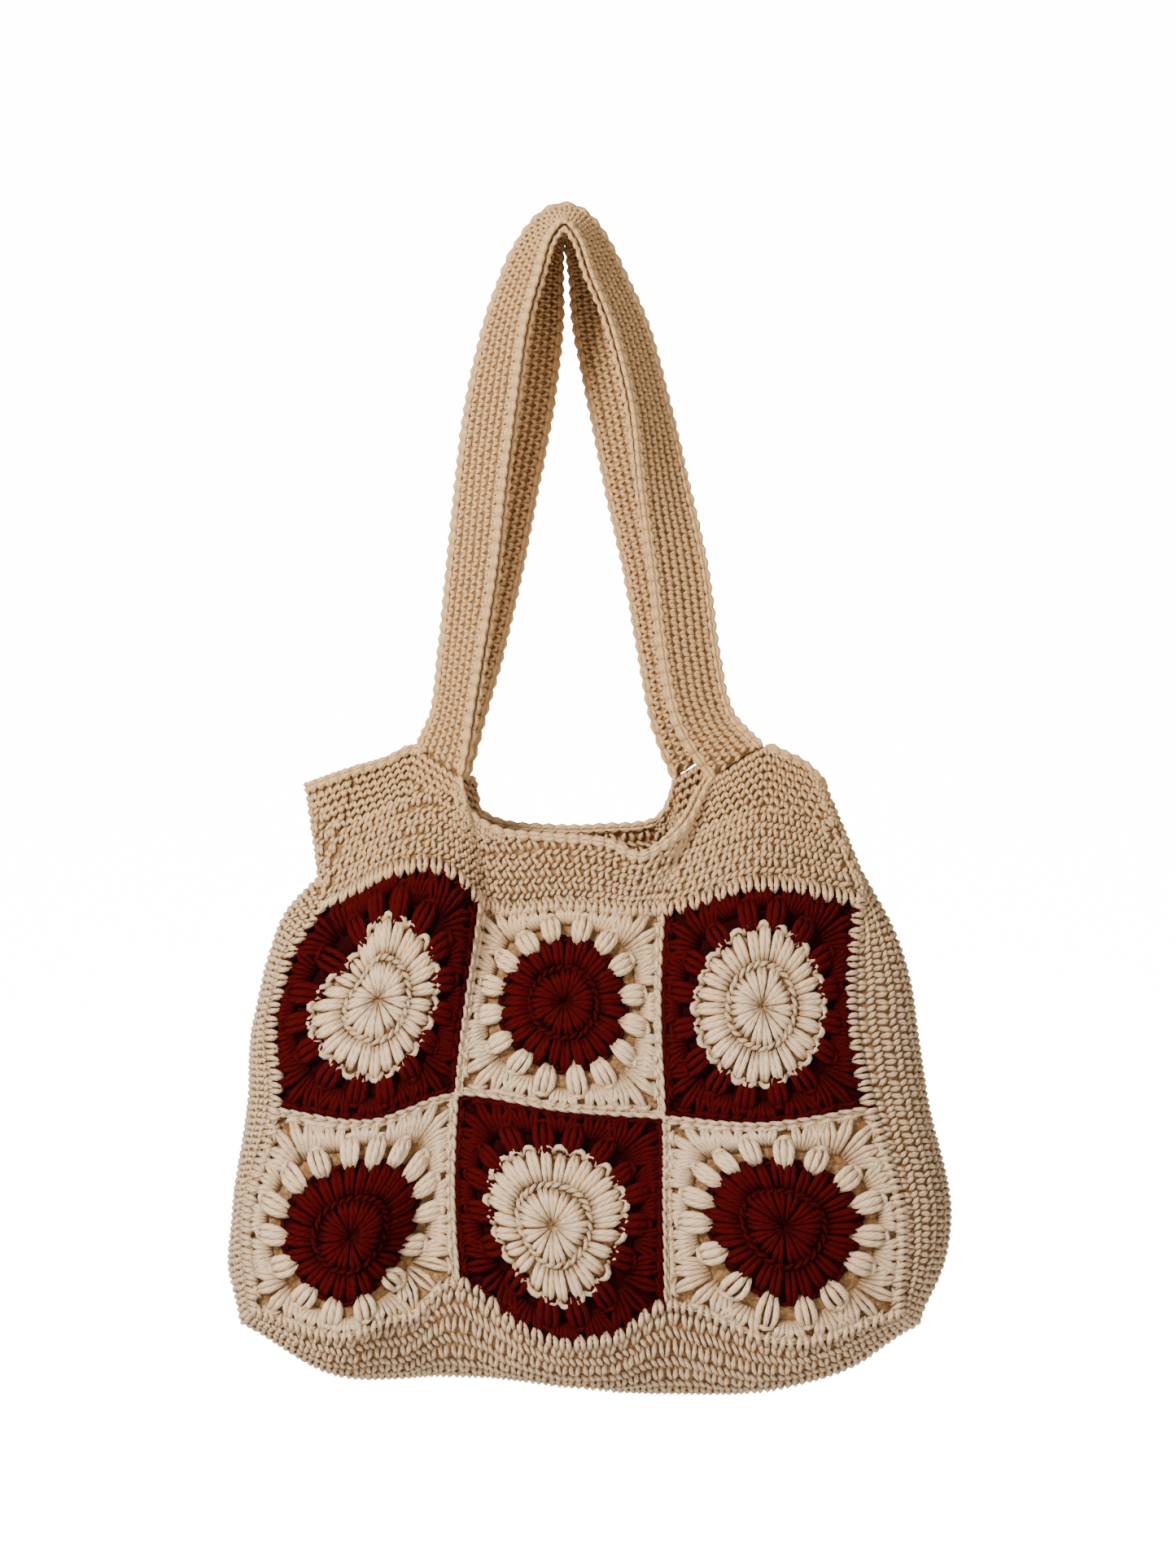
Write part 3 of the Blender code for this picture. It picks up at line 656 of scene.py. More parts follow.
def yarn_tree(material):
    """Geometry nodes that sweep a round strand along every line and keep how the yarn winds."""
    tree = bpy.data.node_groups.new("yarn_strands", "GeometryNodeTree")
    tree.interface.new_socket("Lines", in_out="INPUT", socket_type="NodeSocketGeometry")
    sides = tree.interface.new_socket("Sides", in_out="INPUT", socket_type="NodeSocketInt")
    sides.default_value = 6
    tree.interface.new_socket("Yarn", in_out="OUTPUT", socket_type="NodeSocketGeometry")

    def node(kind, settings=None, **inputs):
        made = tree.nodes.new(kind)
        for name, value in (settings or {}).items():
            setattr(made, name, value)
        for name, value in inputs.items():
            socket = made.inputs[name.replace("_", " ")]
            if isinstance(value, bpy.types.NodeSocket):
                tree.links.new(value, socket)
            else:
                socket.default_value = value
        return made

    entry = node("NodeGroupInput")
    lines = node("GeometryNodeMeshToCurve", Mesh=entry.outputs["Lines"])
    smooth = {"spline_type": "CATMULL_ROM"}
    rounded = node("GeometryNodeCurveSplineType", smooth, Curve=lines.outputs["Curve"])
    fine = node("GeometryNodeSetSplineResolution", Geometry=rounded.outputs["Curve"], Resolution=2)
    thick = node("GeometryNodeInputNamedAttribute", {"data_type": "FLOAT"}, Name="thick")
    radius = thick.outputs["Attribute"]
    thickened = node("GeometryNodeSetCurveRadius", Curve=fine.outputs["Geometry"], Radius=radius)
    length = node("GeometryNodeSplineParameter")
    kept_length = node("GeometryNodeCaptureAttribute", Geometry=thickened.outputs["Curve"])
    kept_length.capture_items.new("FLOAT", "Length")
    tree.links.new(length.outputs["Length"], kept_length.inputs["Length"])
    circle = node("GeometryNodeCurvePrimitiveCircle", Resolution=entry.outputs["Sides"], Radius=FEW_SIDED)
    place = node("GeometryNodeInputPosition")
    kept_place = node("GeometryNodeCaptureAttribute", Geometry=circle.outputs["Curve"])
    kept_place.capture_items.new("VECTOR", "Place")
    tree.links.new(place.outputs["Position"], kept_place.inputs["Place"])
    swept = node(
        "GeometryNodeCurveToMesh",
        Curve=kept_length.outputs["Geometry"],
        Profile_Curve=kept_place.outputs["Geometry"],
        Fill_Caps=True,
    )
    if "Scale" in swept.inputs:
        tree.links.new(radius, swept.inputs["Scale"])
    parts = node("ShaderNodeSeparateXYZ", Vector=kept_place.outputs["Place"])
    along = kept_length.outputs["Length"]
    wind = node("ShaderNodeCombineXYZ", X=parts.outputs["X"], Y=parts.outputs["Y"], Z=along)
    stored = node(
        "GeometryNodeStoreNamedAttribute",
        {"data_type": "FLOAT_VECTOR", "domain": "POINT"},
        Geometry=swept.outputs["Mesh"],
        Name="wind",
    )
    tree.links.new(wind.outputs["Vector"], stored.inputs["Value"])
    real = node("GeometryNodeRealizeInstances", Geometry=stored.outputs["Geometry"])
    coloured = node("GeometryNodeSetMaterial", Geometry=real.outputs["Geometry"])
    coloured.inputs["Material"].default_value = material
    leave = node("NodeGroupOutput")
    tree.links.new(coloured.outputs["Geometry"], leave.inputs["Yarn"])
    return tree, sides.identifier


def swept_mesh(yarn, material, sides):
    """The strands of a piece as a plain mesh."""
    thing = bpy.data.objects.new("strands", yarn.bare_mesh())
    bpy.context.collection.objects.link(thing)
    tree, sides_socket = yarn_tree(material)
    modifier = thing.modifiers.new("yarn", "NODES")
    modifier.node_group = tree
    modifier[sides_socket] = sides
    bpy.context.view_layer.update()
    graph = bpy.context.evaluated_depsgraph_get()
    mesh = bpy.data.meshes.new_from_object(thing.evaluated_get(graph))
    bpy.data.objects.remove(thing, do_unlink=True)
    bpy.data.node_groups.remove(tree)
    return mesh


def piece_from(name, yarn, material, nodes, sides=6):
    """Makes one finished piece of the bag from its strands and thin walls."""
    swept = swept_mesh(yarn, material, sides)
    count, corners, polys = len(swept.vertices), len(swept.loops), len(swept.polygons)
    co = np.empty(count * 3, np.float32)
    swept.vertices.foreach_get("co", co)
    loops = np.empty(corners, np.int32)
    swept.loops.foreach_get("vertex_index", loops)
    starts = np.empty(polys, np.int32)
    swept.polygons.foreach_get("loop_start", starts)
    wind = np.empty(count * 3, np.float32)
    swept.attributes["wind"].data.foreach_get("vector", wind)
    painted_lightness = np.empty(count, np.float32)
    swept.attributes["painted_lightness"].data.foreach_get("value", painted_lightness)
    bpy.data.meshes.remove(swept)
    extra, faces, extra_count = yarn.ground_faces()
    if extra_count:
        co = np.concatenate([co, np.concatenate(extra).ravel()])
        quads = np.concatenate(faces)
        starts = np.concatenate([starts, corners + 4 * np.arange(len(quads))])
        loops = np.concatenate([loops, (quads + count).ravel()])
        wind = np.concatenate([wind, np.tile([1.0, 0.0, 0.0], extra_count)])
        # The thin walls get a level of -1, so they are coloured all in painted shade.
        painted_lightness = np.concatenate([painted_lightness, np.full(extra_count, -1.0)])
    mesh = bpy.data.meshes.new(name)
    mesh.vertices.add(len(co) // 3)
    mesh.vertices.foreach_set("co", co.astype(np.float32))
    mesh.loops.add(len(loops))
    mesh.loops.foreach_set("vertex_index", loops.astype(np.int32))
    mesh.polygons.add(len(starts))
    mesh.polygons.foreach_set("loop_start", starts.astype(np.int32))
    mesh.update(calc_edges=True)
    mesh.validate()
    mesh.attributes.new("wind", "FLOAT_VECTOR", "POINT").data.foreach_set("vector", wind.astype(np.float32))
    mesh.attributes.new("painted_lightness", "FLOAT", "POINT").data.foreach_set("value", painted_lightness.astype(np.float32))
    mesh.shade_smooth()
    mesh.materials.append(material)
    piece = bpy.data.objects.new(name, mesh)
    bpy.context.collection.objects.link(piece)
    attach(piece, "root")
    if nodes:
        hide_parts(*nodes)
    triangles = sum(len(p.vertices) - 2 for p in mesh.polygons)
    print(f"piece {name}: {triangles} triangles")
    return piece


class Value:
    """A shader value that can be used in sums, products and comparisons."""

    def __init__(self, shader, socket):
        self.shader, self.socket = shader, socket

    def math(self, operation, *others):
        return self.shader.number("ShaderNodeMath", {"operation": operation}, [self, *others])

    def __add__(self, other):
        return self.math("ADD", other)

    __radd__ = __add__

    def __sub__(self, other):
        return self.math("SUBTRACT", other)

    def __rsub__(self, other):
        return self.shader.number("ShaderNodeMath", {"operation": "SUBTRACT"}, [other, self])

    def __mul__(self, other):
        return self.math("MULTIPLY", other)

    __rmul__ = __mul__

    def __truediv__(self, other):
        return self.math("DIVIDE", other)

    def sin(self):
        return self.math("SINE")

    def clamped(self):
        return self.shader.number("ShaderNodeClamp", {}, [self, 0.0, 1.0])


class Shader:
    """A material under construction."""

    def __init__(self, name):
        self.material = bpy.data.materials.new(name)
        self.material.use_nodes = True
        self.tree = self.material.node_tree
        self.surface = self.tree.nodes["Principled BSDF"]

    def node(self, kind, settings=None, inputs=()):
        """Adds a node: its settings first, then the values or links of its sockets in order or by name."""
        made = self.tree.nodes.new(kind)
        for name, value in (settings or {}).items():
            setattr(made, name, value)
        pairs = inputs.items() if isinstance(inputs, dict) else enumerate(inputs)
        for key, value in pairs:
            if isinstance(value, Value):
                value = value.socket
            if isinstance(value, bpy.types.NodeSocket):
                self.tree.links.new(value, made.inputs[key])
            else:
                made.inputs[key].default_value = value
        return made

    def number(self, kind, settings, inputs):
        return Value(self, self.node(kind, settings, inputs).outputs[0])

    def blend(self, factor, first, second, mode="MIX"):
        made = self.node("ShaderNodeMix", {"data_type": "RGBA", "blend_type": mode})
        for key, value in ((0, factor), (6, first), (7, second)):
            if isinstance(value, Value):
                value = value.socket
            if isinstance(value, bpy.types.NodeSocket):
                self.tree.links.new(value, made.inputs[key])
            else:
                made.inputs[key].default_value = value
        return made.outputs[2]

    def feed(self, name, value):
        socket = value.socket if isinstance(value, Value) else value
        self.tree.links.new(socket, self.surface.inputs[name])


def yarn_material(name, colour, shade, low_colour=None, plies=4.0, lay=5.5):
    """Plied cotton: painted shade that darkens the colour between the stitches and in the ply grooves, wound
    plies, fine fibres and a soft sheen.
    """
    m = Shader(name)
    wind = m.node("ShaderNodeAttribute", {"attribute_name": "wind"})
    parts = m.node("ShaderNodeSeparateXYZ", {}, [wind.outputs["Vector"]])
    cosine, sine, length = (Value(m, parts.outputs[i]) for i in range(3))
    painted_lightness = Value(m, m.node("ShaderNodeAttribute", {"attribute_name": "painted_lightness"}).outputs["Fac"])
    place = m.node("ShaderNodeTexCoord").outputs["Object"]
    angle = sine.math("ARCTAN2", cosine)
    ply = (angle * plies + length * (2 * math.pi / (lay * MM))).sin()
    ply_groove_shade = (1 - ply) * 0.5
    patches = m.number("ShaderNodeTexNoise", {}, {"Vector": place, "Scale": 22.0, "Detail": 2.0})
    flecks = m.number("ShaderNodeTexNoise", {}, {"Vector": place, "Scale": 420.0, "Detail": 3.0})
    fibres = m.number("ShaderNodeTexNoise", {}, {"Vector": place, "Scale": 1600.0, "Detail": 2.0})
    base = (*colour, 1.0)
    if low_colour is not None:
        z = Value(m, m.node("ShaderNodeSeparateXYZ", {}, [place]).outputs["Z"])
        lower = ((-0.30 - z) / 0.14).clamped()
        base = m.blend(lower, base, (*low_colour, 1.0))
    # Painted shade: the colour darkens toward the shade colour where a strand lies low between the stitches,
    # and a little in the grooves between the plies.
    crevice_shade = (1 - painted_lightness).clamped()
    colour_with_painted_shade = m.blend((crevice_shade * 0.9 + ply_groove_shade * 0.22).clamped(), base, (*shade, 1.0))
    colour_with_painted_shade = m.blend((flecks - 0.45).clamped(), colour_with_painted_shade, (*[min(1.0, c * 1.2) for c in colour], 1.0))
    colour_with_painted_shade = m.blend(patches * 0.3, colour_with_painted_shade, (*[c * 0.82 for c in colour], 1.0))
    m.feed("Base Color", colour_with_painted_shade)
    m.surface.inputs["Roughness"].default_value = 0.86
    m.surface.inputs["Specular IOR Level"].default_value = 0.05
    m.surface.inputs["Sheen Weight"].default_value = 0.08
    m.surface.inputs["Sheen Roughness"].default_value = 0.5
    m.surface.inputs["Sheen Tint"].default_value = (*[min(1.0, c * 1.2) for c in colour], 1.0)
    height = ply * 0.5 + fibres * 0.35
    bump = m.node("ShaderNodeBump", {}, {"Strength": 0.55, "Distance": 0.0006, "Height": height})
    m.feed("Normal", bump.outputs["Normal"])
    return m.material


def settings():
    return bpy.context.scene.tote_yarn


def yarn_kind(kind):
    """The material of a kind of yarn, made once."""
    name = f"crochet_{kind}"
    held = bpy.data.materials.get(name)
    if held:
        return held
    look = settings()
    if kind.startswith("red"):
        return yarn_material(name, look.red, look.red_painted_shade)
    if kind == "strap_yarn":
        return yarn_material(name, look.warm_cream, look.cream_painted_shade)
    return yarn_material(name, look.warm_cream, look.cream_painted_shade, low_colour=look.cream)


SHEETS = {}


def sheet_of(name):
    """The bag's sheets, worked out once."""
    if name in SHEETS:
        return SHEETS[name]
    if name == "front":
        made = Sheet.from_formula(front_points, (0, 0), (3, 2), (145, 97), -1).smoothed(2)
        made.normals *= np.sign(-made.normals[72, 48, 1])
    elif name == "back":
        made = Sheet.from_formula(back_points, (0, 0), (3, 2), (145, 97), 1).smoothed(2)
        made.normals *= np.sign(made.normals[72, 48, 1])
    elif name == "gusset":
        made = Sheet.from_formula(gusset_points, (0, 0), (7, 1), (169, 33), 1).smoothed(4)
        made.normals *= np.sign(-made.normals[84, 16, 2])
    elif name == "band":
        made = Sheet.from_formula(band_points, (0, 0), (8, 1), (385, 33), 1, closed=True).smoothed(4)
        made.normals *= np.sign(-made.normals[72, 16, 1])
    else:
        made = strap_sheet(name.split("_")[1])
    SHEETS[name] = made
    return made


def strap_sheet(side):
    """A strap's outer face, with its slight crown, as share along and share across."""
    last = len(STRAPS[side]) - 1
    steps = np.linspace(0, last, 241)
    middle, width, outward, _ = strap_frames(side, steps)
    share = np.linspace(0, 1, 17)
    crown = STRAP_CROWN * STRAP_THICKNESS * np.sin(np.pi * share)
    points = (
        middle[:, None, :] + width[:, None, :] * (STRAP_WIDTH * (share - 0.5))[None, :, None]
        + outward[:, None, :] * crown[None, :, None]
    )
    lengths = np.concatenate([[0], np.cumsum(np.linalg.norm(np.diff(middle, axis=0), axis=1))])
    even = np.interp(np.linspace(0, 1, 241), lengths / lengths[-1], np.arange(241))
    low = np.clip(np.floor(even).astype(int), 0, 239)
    part = (even - low)[:, None, None]
    points = points[low] * (1 - part) + points[low + 1] * part
    normals = np.repeat(outward[:, None, :], 17, axis=1)
    normals = unit(normals[low] * (1 - part) + normals[low + 1] * part)
    made = Sheet(points, normals, (0, 0), (1, 1))
    made.length = lengths[-1]
    return made


def make_strap(side, seed):
    """A strap: lengthwise rows of single crochet on both faces, and a braided chain along both edges."""
    look = settings()
    outer = sheet_of(f"strap_{side}")
    inner = outer.inside(STRAP_THICKNESS)
    yarn = Yarn(seed)
    count = int(round(outer.length / look.single_pitch))
    rows = look.strap_rows
    step = 1.0 / count
    for sheet in (outer, inner):
        for row in range(rows):
            share = 0.08 + 0.84 * (row + 0.5) / rows
            s = (np.arange(count) + 0.5 + 0.5 * (row % 2)) * step
            s = s[s < 1 - 0.3 * step]
            yarn.lay(sheet, SINGLE, s, share, (step, 0), (0, 0.84 / rows), lift=-1.5, loose=0.06)
    chains = int(round(outer.length / look.chain_pitch))
    for share, sign in ((0.0, -1), (1.0, 1)):
        s = (np.arange(chains) + 0.2) / chains
        yarn.lay(outer, CHAIN, s, share + sign * -0.035, (1 / chains, 0), (0, 0.115), lift=-1.3, loose=0.02)
        yarn.lay(inner, CHAIN, s, share + sign * -0.035, (1 / chains, 0), (0, 0.115), lift=-1.5, loose=0.02)
    yarn.ground(outer, (90, 6), 1.4, STRAP_THICKNESS / MM - 2.8, (0, 0.05), (1, 0.95))
    piece_from(f"strap_{side}_yarn", yarn, yarn_kind("strap_yarn"), [f"strap_{side}"], sides=4)


def band_rows(yarn, sheet, outside):
    """Half double rows from the squares up, and single rows under the ears and strap ends."""
    look = settings()
    fine = np.linspace(0, 8, 1601)
    base, rim = band_base(fine), band_rim(fine)
    height = np.linalg.norm(rim - base, axis=1)

    def spaced(up, pitch):
        """Places round the band at an even pitch, at a share of its height."""
        line = base * (1 - up) + rim * up
        run = np.concatenate([[0], np.cumsum(np.linalg.norm(np.diff(line, axis=0), axis=1))])
        count = int(round(run[-1] / pitch))
        places = np.interp((np.arange(count) + 0.5) / count * run[-1], run, fine)
        after = np.interp((np.arange(count) + 1.5) / count * run[-1], run, fine)
        return places, np.abs(after - places).clip(1e-4, 0.2)

    low_height = look.band_rows * look.half_double_row
    for row in range(look.band_rows):
        if not outside and row < look.band_rows // 2:
            continue
        places, step = spaced(0.3, look.half_double_pitch)
        tall = np.interp(places, fine, height)
        part = np.minimum(low_height, tall) / tall
        up = part * row / look.band_rows
        places = places + 0.5 * step * (row % 2)
        yarn.lay(sheet, HALF_DOUBLE, places, up, (step, 0), (0, part / look.band_rows), lift=-1.6, loose=0.05)
    deepest = int((height.max() - low_height) / look.single_row) + 2
    for row in range(deepest):
        places, step = spaced(0.9, look.single_pitch)
        tall = np.interp(places, fine, height)
        down = (row + 0.8) * look.single_row
        keep = down < (tall - low_height + 0.3 * look.single_row)
        up = 1 - down / tall
        places = places + 0.5 * step * (row % 2)
        yarn.lay(
            sheet, SINGLE, places[keep], up[keep], (step[keep], 0), (0, (look.single_row / tall)[keep]),
            lift=-1.5, loose=0.06,
        )


def rim_chain(yarn, sheet):
    """The braided chain along the rim between the straps and over the ears."""
    look = settings()
    fine = np.linspace(0, 8, 1601)
    rim = band_rim(fine)
    run = np.concatenate([[0], np.cumsum(np.linalg.norm(np.diff(rim, axis=0), axis=1))])
    count = int(round(run[-1] / look.chain_pitch))
    places = np.interp(np.arange(count) / count * run[-1], run, fine)
    after = np.interp((np.arange(count) + 1) / count * run[-1], run, fine)
    on_strap = np.zeros(count, bool)
    for start, end in ((0.5, 1.0), (2.0, 2.5), (4.5, 5.0), (6.0, 6.5)):
        on_strap |= (places > start + 0.02) & (places < end - 0.02)
    keep = ~on_strap
    tall = np.linalg.norm(band_rim(places) - band_base(places), axis=1)
    yarn.lay(
        sheet, CHAIN, places[keep], 1 - CHAIN_INSET / tall[keep],
        ((after - places)[keep], 0), (0, (CHAIN_WIDTH / tall)[keep]), lift=-1.2, loose=0.02,
    )


def make_band():
    """The top band: its outer face, its inner face and the chain along the rim."""
    outer = sheet_of("band")
    inner = outer.inside(WALL)
    yarn = Yarn(11)
    band_rows(yarn, outer, True)
    rim_chain(yarn, outer)
    yarn.ground(outer, (200, 10), 1.9, 1.2, (0, 0.0), (8, 0.985))
    piece_from("top_band_yarn", yarn, yarn_kind("band_yarn"), ["top_band"], sides=4)
    yarn = Yarn(12)
    band_rows(yarn, inner, False)
    rim_chain(yarn, inner)
    piece_from("top_band_inside_yarn", yarn, yarn_kind("band_yarn"), [], sides=4)


def make_gusset():
    """The gusset: rows of half double crochet from the front edge round to the back."""
    look = settings()
    sheet = sheet_of("gusset")
    yarn = Yarn(21)
    fine = np.linspace(0, 7, 1401)
    line = gusset_points(fine, np.full(len(fine), 0.15))
    run = np.concatenate([[0], np.cumsum(np.linalg.norm(np.diff(line, axis=0), axis=1))])
    count = int(round(run[-1] / look.half_double_pitch))
    for row in range(look.gusset_rows):
        places = np.interp((np.arange(count) + 0.5 + 0.5 * (row % 2)) / count * run[-1], run, fine)
        step = np.gradient(places)
        share = 1 / look.gusset_rows
        yarn.lay(sheet, HALF_DOUBLE, places, row * share, (step, 0), (0, share), lift=-1.6, loose=0.05)
    yarn.ground(sheet, (140, 12), 1.9, 1.2)
    piece_from(
        "gusset_yarn", yarn, yarn_kind("gusset_yarn"),
        ["gusset_left", "gusset_bottom", "gusset_right"], sides=4,
    )


def edge_reach(turn):
    """How far the border lies from a square's centre, in squares, in a direction given in turns."""
    angle = turn * 2 * math.pi
    return 0.5 / np.maximum(np.abs(np.cos(angle)), np.abs(np.sin(angle)))


def square_sheet(side, column, level):
    """A square's sheet in turns round its centre and steps out: 1 at the rosette's edge, 2 at the border."""
    panel = sheet_of(side)
    turns, outs = np.meshgrid(np.linspace(0, 1, 193), np.linspace(0, 2, 61), indexing="ij")
    angle = turns * 2 * math.pi
    rosette = settings().rosette_share
    reach = np.where(outs <= 1, outs * rosette, rosette + (outs - 1) * (edge_reach(turns) - rosette))
    across, down = column + 0.5 + np.cos(angle) * reach, level + 0.5 + np.sin(angle) * reach
    return panel.warped(across, down, (0, 0), (1, 2), closed=True)


def make_rosette(side, column, level, red):
    """The round middle: posts from the centre, a ring of loops, a ring of ribs and an edge of loops."""
    sheet = square_sheet(side, column, level)
    yarn = Yarn(100 + 10 * column + level + (50 if side == "back" else 0))
    posts, ribs = 15, 27
    turn = (np.arange(posts) + 0.3) / posts
    yarn.lay(sheet, POST, turn, 0.05, (1 / posts, 0), (0, 0.45), lift=-0.9, loose=0.08)
    turn = (np.arange(ribs) + 0.5) / ribs
    yarn.lay(sheet, RING, turn, 0.52, (1 / ribs, 0), (0, 0.09), lift=-0.6, loose=0.10)
    yarn.lay(sheet, RIB, turn, 0.56, (1 / ribs, 0), (0, 0.42), lift=-0.9, loose=0.09)
    if red:
        yarn.lay(sheet, RING, turn, 0.98, (1 / ribs, 0), (0, 0.10), lift=-1.2, loose=0.10)
    else:
        yarn.lay(sheet, SCALLOP, turn, 1.00, (1 / ribs, 0), (0, 0.075), lift=-0.2, loose=0.12)
    yarn.ground(sheet, (64, 6), 1.6, 1.2, (0, 0.01), (1, 1.02))
    name = f"{side}_{LEVELS[level]}_{COLUMNS[column]}_rosette"
    slot = "red_rosette_yarn" if red else "cream_rosette_yarn"
    piece_from(f"{name}_yarn", yarn, yarn_kind(slot), [name], sides=4)


def make_frame(side, column, level, red):
    """The square frame: a ring of puffs, fans out to the border and a thin chain along it."""
    look = settings()
    sheet = square_sheet(side, column, level)
    yarn = Yarn(300 + 10 * column + level + (50 if side == "back" else 0))
    count = look.clusters
    pitch = 1 / count
    turn = (np.arange(count) + 0.5) * pitch
    room = edge_reach(turn) - look.rosette_share
    length = np.minimum(look.cluster_length, 0.8 * room)
    start = 0.96 if red else 0.94
    yarn.lay(sheet, CLUSTER, turn, start, (pitch * 0.88, 0), (0, length / room), lift=-0.9, loose=0.08)
    gaps = np.arange(count) * pitch
    corner = np.isclose((gaps * 8) % 2, 1)
    for on, motif, near in ((~corner, SIDE_FAN, 0.075), (corner, CORNER_FAN, 0.115)):
        room = edge_reach(gaps[on]) - look.rosette_share
        start = near / room
        yarn.lay(sheet, motif, gaps[on], 1 + start, (pitch, 0), (0, 0.96 - start), lift=-0.9, loose=0.06)
    yarn.ground(sheet, (64, 6), 1.9, 1.2, (0, 0.98), (1, 2.0))
    panel = sheet_of(side)
    links = 15
    share = (np.arange(links) + 0.2) / links
    inset, wide, link = 0.018, 0.03, 1 / links
    for down in (level + inset, level + 1 - inset):
        yarn.lay(panel, THIN_CHAIN, column + share, down, (link, 0), (0, wide), lift=-0.8, loose=0.02)
    for across in (column + inset, column + 1 - inset):
        yarn.lay(panel, THIN_CHAIN, across, level + share, (0, link), (wide, 0), lift=-0.8, loose=0.02)
    name = f"{side}_{LEVELS[level]}_{COLUMNS[column]}_frame"
    slot = "red_frame_yarn" if red else "cream_frame_yarn"
    piece_from(f"{name}_yarn", yarn, yarn_kind(slot), [name], sides=4)


def make_joins(side):
    """The slip-stitched cords between the squares, and the legs that bite over the squares' outer edge."""
    panel = sheet_of(side)
    yarn = Yarn(500 if side == "front" else 501)
    links = 16
    for across in (1.0, 2.0):
        down = np.arange(2 * links) / links
        yarn.lay(panel, SEAM, across, down, (0, 1 / links), (0.03, 0), lift=0.2, loose=0.03)
    across = np.arange(3 * links) / links
    yarn.lay(panel, SEAM, across, 1.0, (1 / links, 0), (0, 0.03), lift=0.4, loose=0.03)
    legs = 15
    share = (np.arange(3 * legs) + 0.5) / legs
    bite = 0.05
    yarn.lay(panel, TOOTH, share, 0.0, (1 / legs, 0), (0, bite), lift=0.2, loose=0.05)
    yarn.lay(panel, TOOTH, share, 2.0, (1 / legs, 0), (0, -bite), lift=0.2, loose=0.05)
    share = (np.arange(2 * legs) + 0.5) / legs
    yarn.lay(panel, TOOTH, 0.0, share, (0, 1 / legs), (bite, 0), lift=0.2, loose=0.05)
    yarn.lay(panel, TOOTH, 3.0, share, (0, 1 / legs), (-bite, 0), lift=0.2, loose=0.05)
    piece_from(f"{side}_joining_yarn", yarn, yarn_kind("gusset_yarn"), [], sides=4)


def backdrop_material():
    """Pale paper that glows softly behind the bag, so that it is seen against white."""
    m = Shader("backdrop")
    place = m.node("ShaderNodeTexCoord").outputs["Object"]
    parts = m.node("ShaderNodeSeparateXYZ", {}, [place])
    x, y, z = (Value(m, parts.outputs[i]) for i in range(3))
    side = x * x + (z + 0.32) * (z + 0.32)
    near = (1 - (side - 4.0) / 3.0).clamped()
    behind = ((y - 8.8) / 0.7).clamped()
    glow = near * behind
    m.feed("Emission Color", m.blend(glow, (0.03, 0.03, 0.03, 1.0), (1.0, 1.0, 1.0, 1.0)))
    m.surface.inputs["Base Color"].default_value = (0.9, 0.9, 0.9, 1.0)
    m.surface.inputs["Emission Strength"].default_value = 14.0
    m.surface.inputs["Roughness"].default_value = 1.0
    return m.material


def make_stage():
    """A pale floor and backdrop, soft lights and the camera."""
    world = bpy.data.worlds.new("studio")
    world.use_nodes = True
    world.node_tree.nodes["Background"].inputs["Color"].default_value = (1.0, 1.0, 1.0, 1.0)
    world.node_tree.nodes["Background"].inputs["Strength"].default_value = 0.46
    bpy.context.scene.world = world
    floor_z = CAD_BOX[0][2] - 1.30
    far, near, wide, tall, bend = 10.0, -10.0, 9.0, 7.0, 0.8
    profile = [(near, floor_z), (far - bend, floor_z)]
    for a in np.linspace(0.1, math.pi / 2, 12):
        profile.append((far - bend + bend * math.sin(a), floor_z + bend * (1 - math.cos(a))))
    profile.append((far, floor_z + tall))
    points = [(x, y, z) for x in (-wide, wide) for y, z in profile]
    n = len(profile)
    mesh = bpy.data.meshes.new("floor")
    mesh.from_pydata(points, [], [(i, n + i, n + i + 1, i + 1) for i in range(n - 1)])
    mesh.shade_smooth()
    mesh.materials.append(backdrop_material())
    floor = bpy.data.objects.new("floor", mesh)
    bpy.context.collection.objects.link(floor)
    for name, place, size, power in (
        ("key", (-1.7, -1.9, 1.2), 0.8, 165.0),
        ("fill", (2.2, -2.4, 0.1), 2.0, 22.0),
    ):
        data = bpy.data.lights.new(name, "AREA")
        data.shape = "DISK"
        data.size = size
        data.energy = power
        lamp = bpy.data.objects.new(name, data)
        lamp.location = place
        lamp.rotation_euler = direction_to_euler(np.array([0.0, 0.0, -0.35]) - np.array(place))
        bpy.context.collection.objects.link(lamp)
    width_px, height_px, px = 1445.0, 1926.0, 0.00047
    hook_px = (690.0, 285.0)
    distance = 4.5
    data = bpy.data.cameras.new("camera")
    data.sensor_fit = "HORIZONTAL"
    data.sensor_width = 36.0
    data.lens = 36.0 * distance / (width_px * px)
    data.clip_end = 50.0
    camera = bpy.data.objects.new("camera", data)
    camera.location = ((width_px / 2 - hook_px[0]) * px, -distance - 0.03, (hook_px[1] - height_px / 2) * px)
    camera.rotation_euler = (math.pi / 2, 0, 0)
    bpy.context.collection.objects.link(camera)
    bpy.context.scene.camera = camera


def direction_to_euler(aim):
    """The turn of a lamp whose light goes that way."""
    return Vector(aim).to_track_quat("-Z", "Y").to_euler()


def colour_of(name, description, colour):
    """A colour of yarn, as a setting of the add-on."""
    return bpy.props.FloatVectorProperty(name=name, description=description, subtype="COLOR", default=colour)


def length_of(name, description, metres):
    """A length of crochet, as a setting of the add-on."""
    return bpy.props.FloatProperty(
        name=name, description=description, default=metres, unit="LENGTH", precision=4
    )


def share_of(name, description, share):
    """A share of a square, as a setting of the add-on."""
    return bpy.props.FloatProperty(name=name, description=description, default=share, subtype="FACTOR")


def count_of(name, description, count):
    """A number of stitches or rows, as a setting of the add-on."""
    return bpy.props.IntProperty(name=name, description=description, default=count)


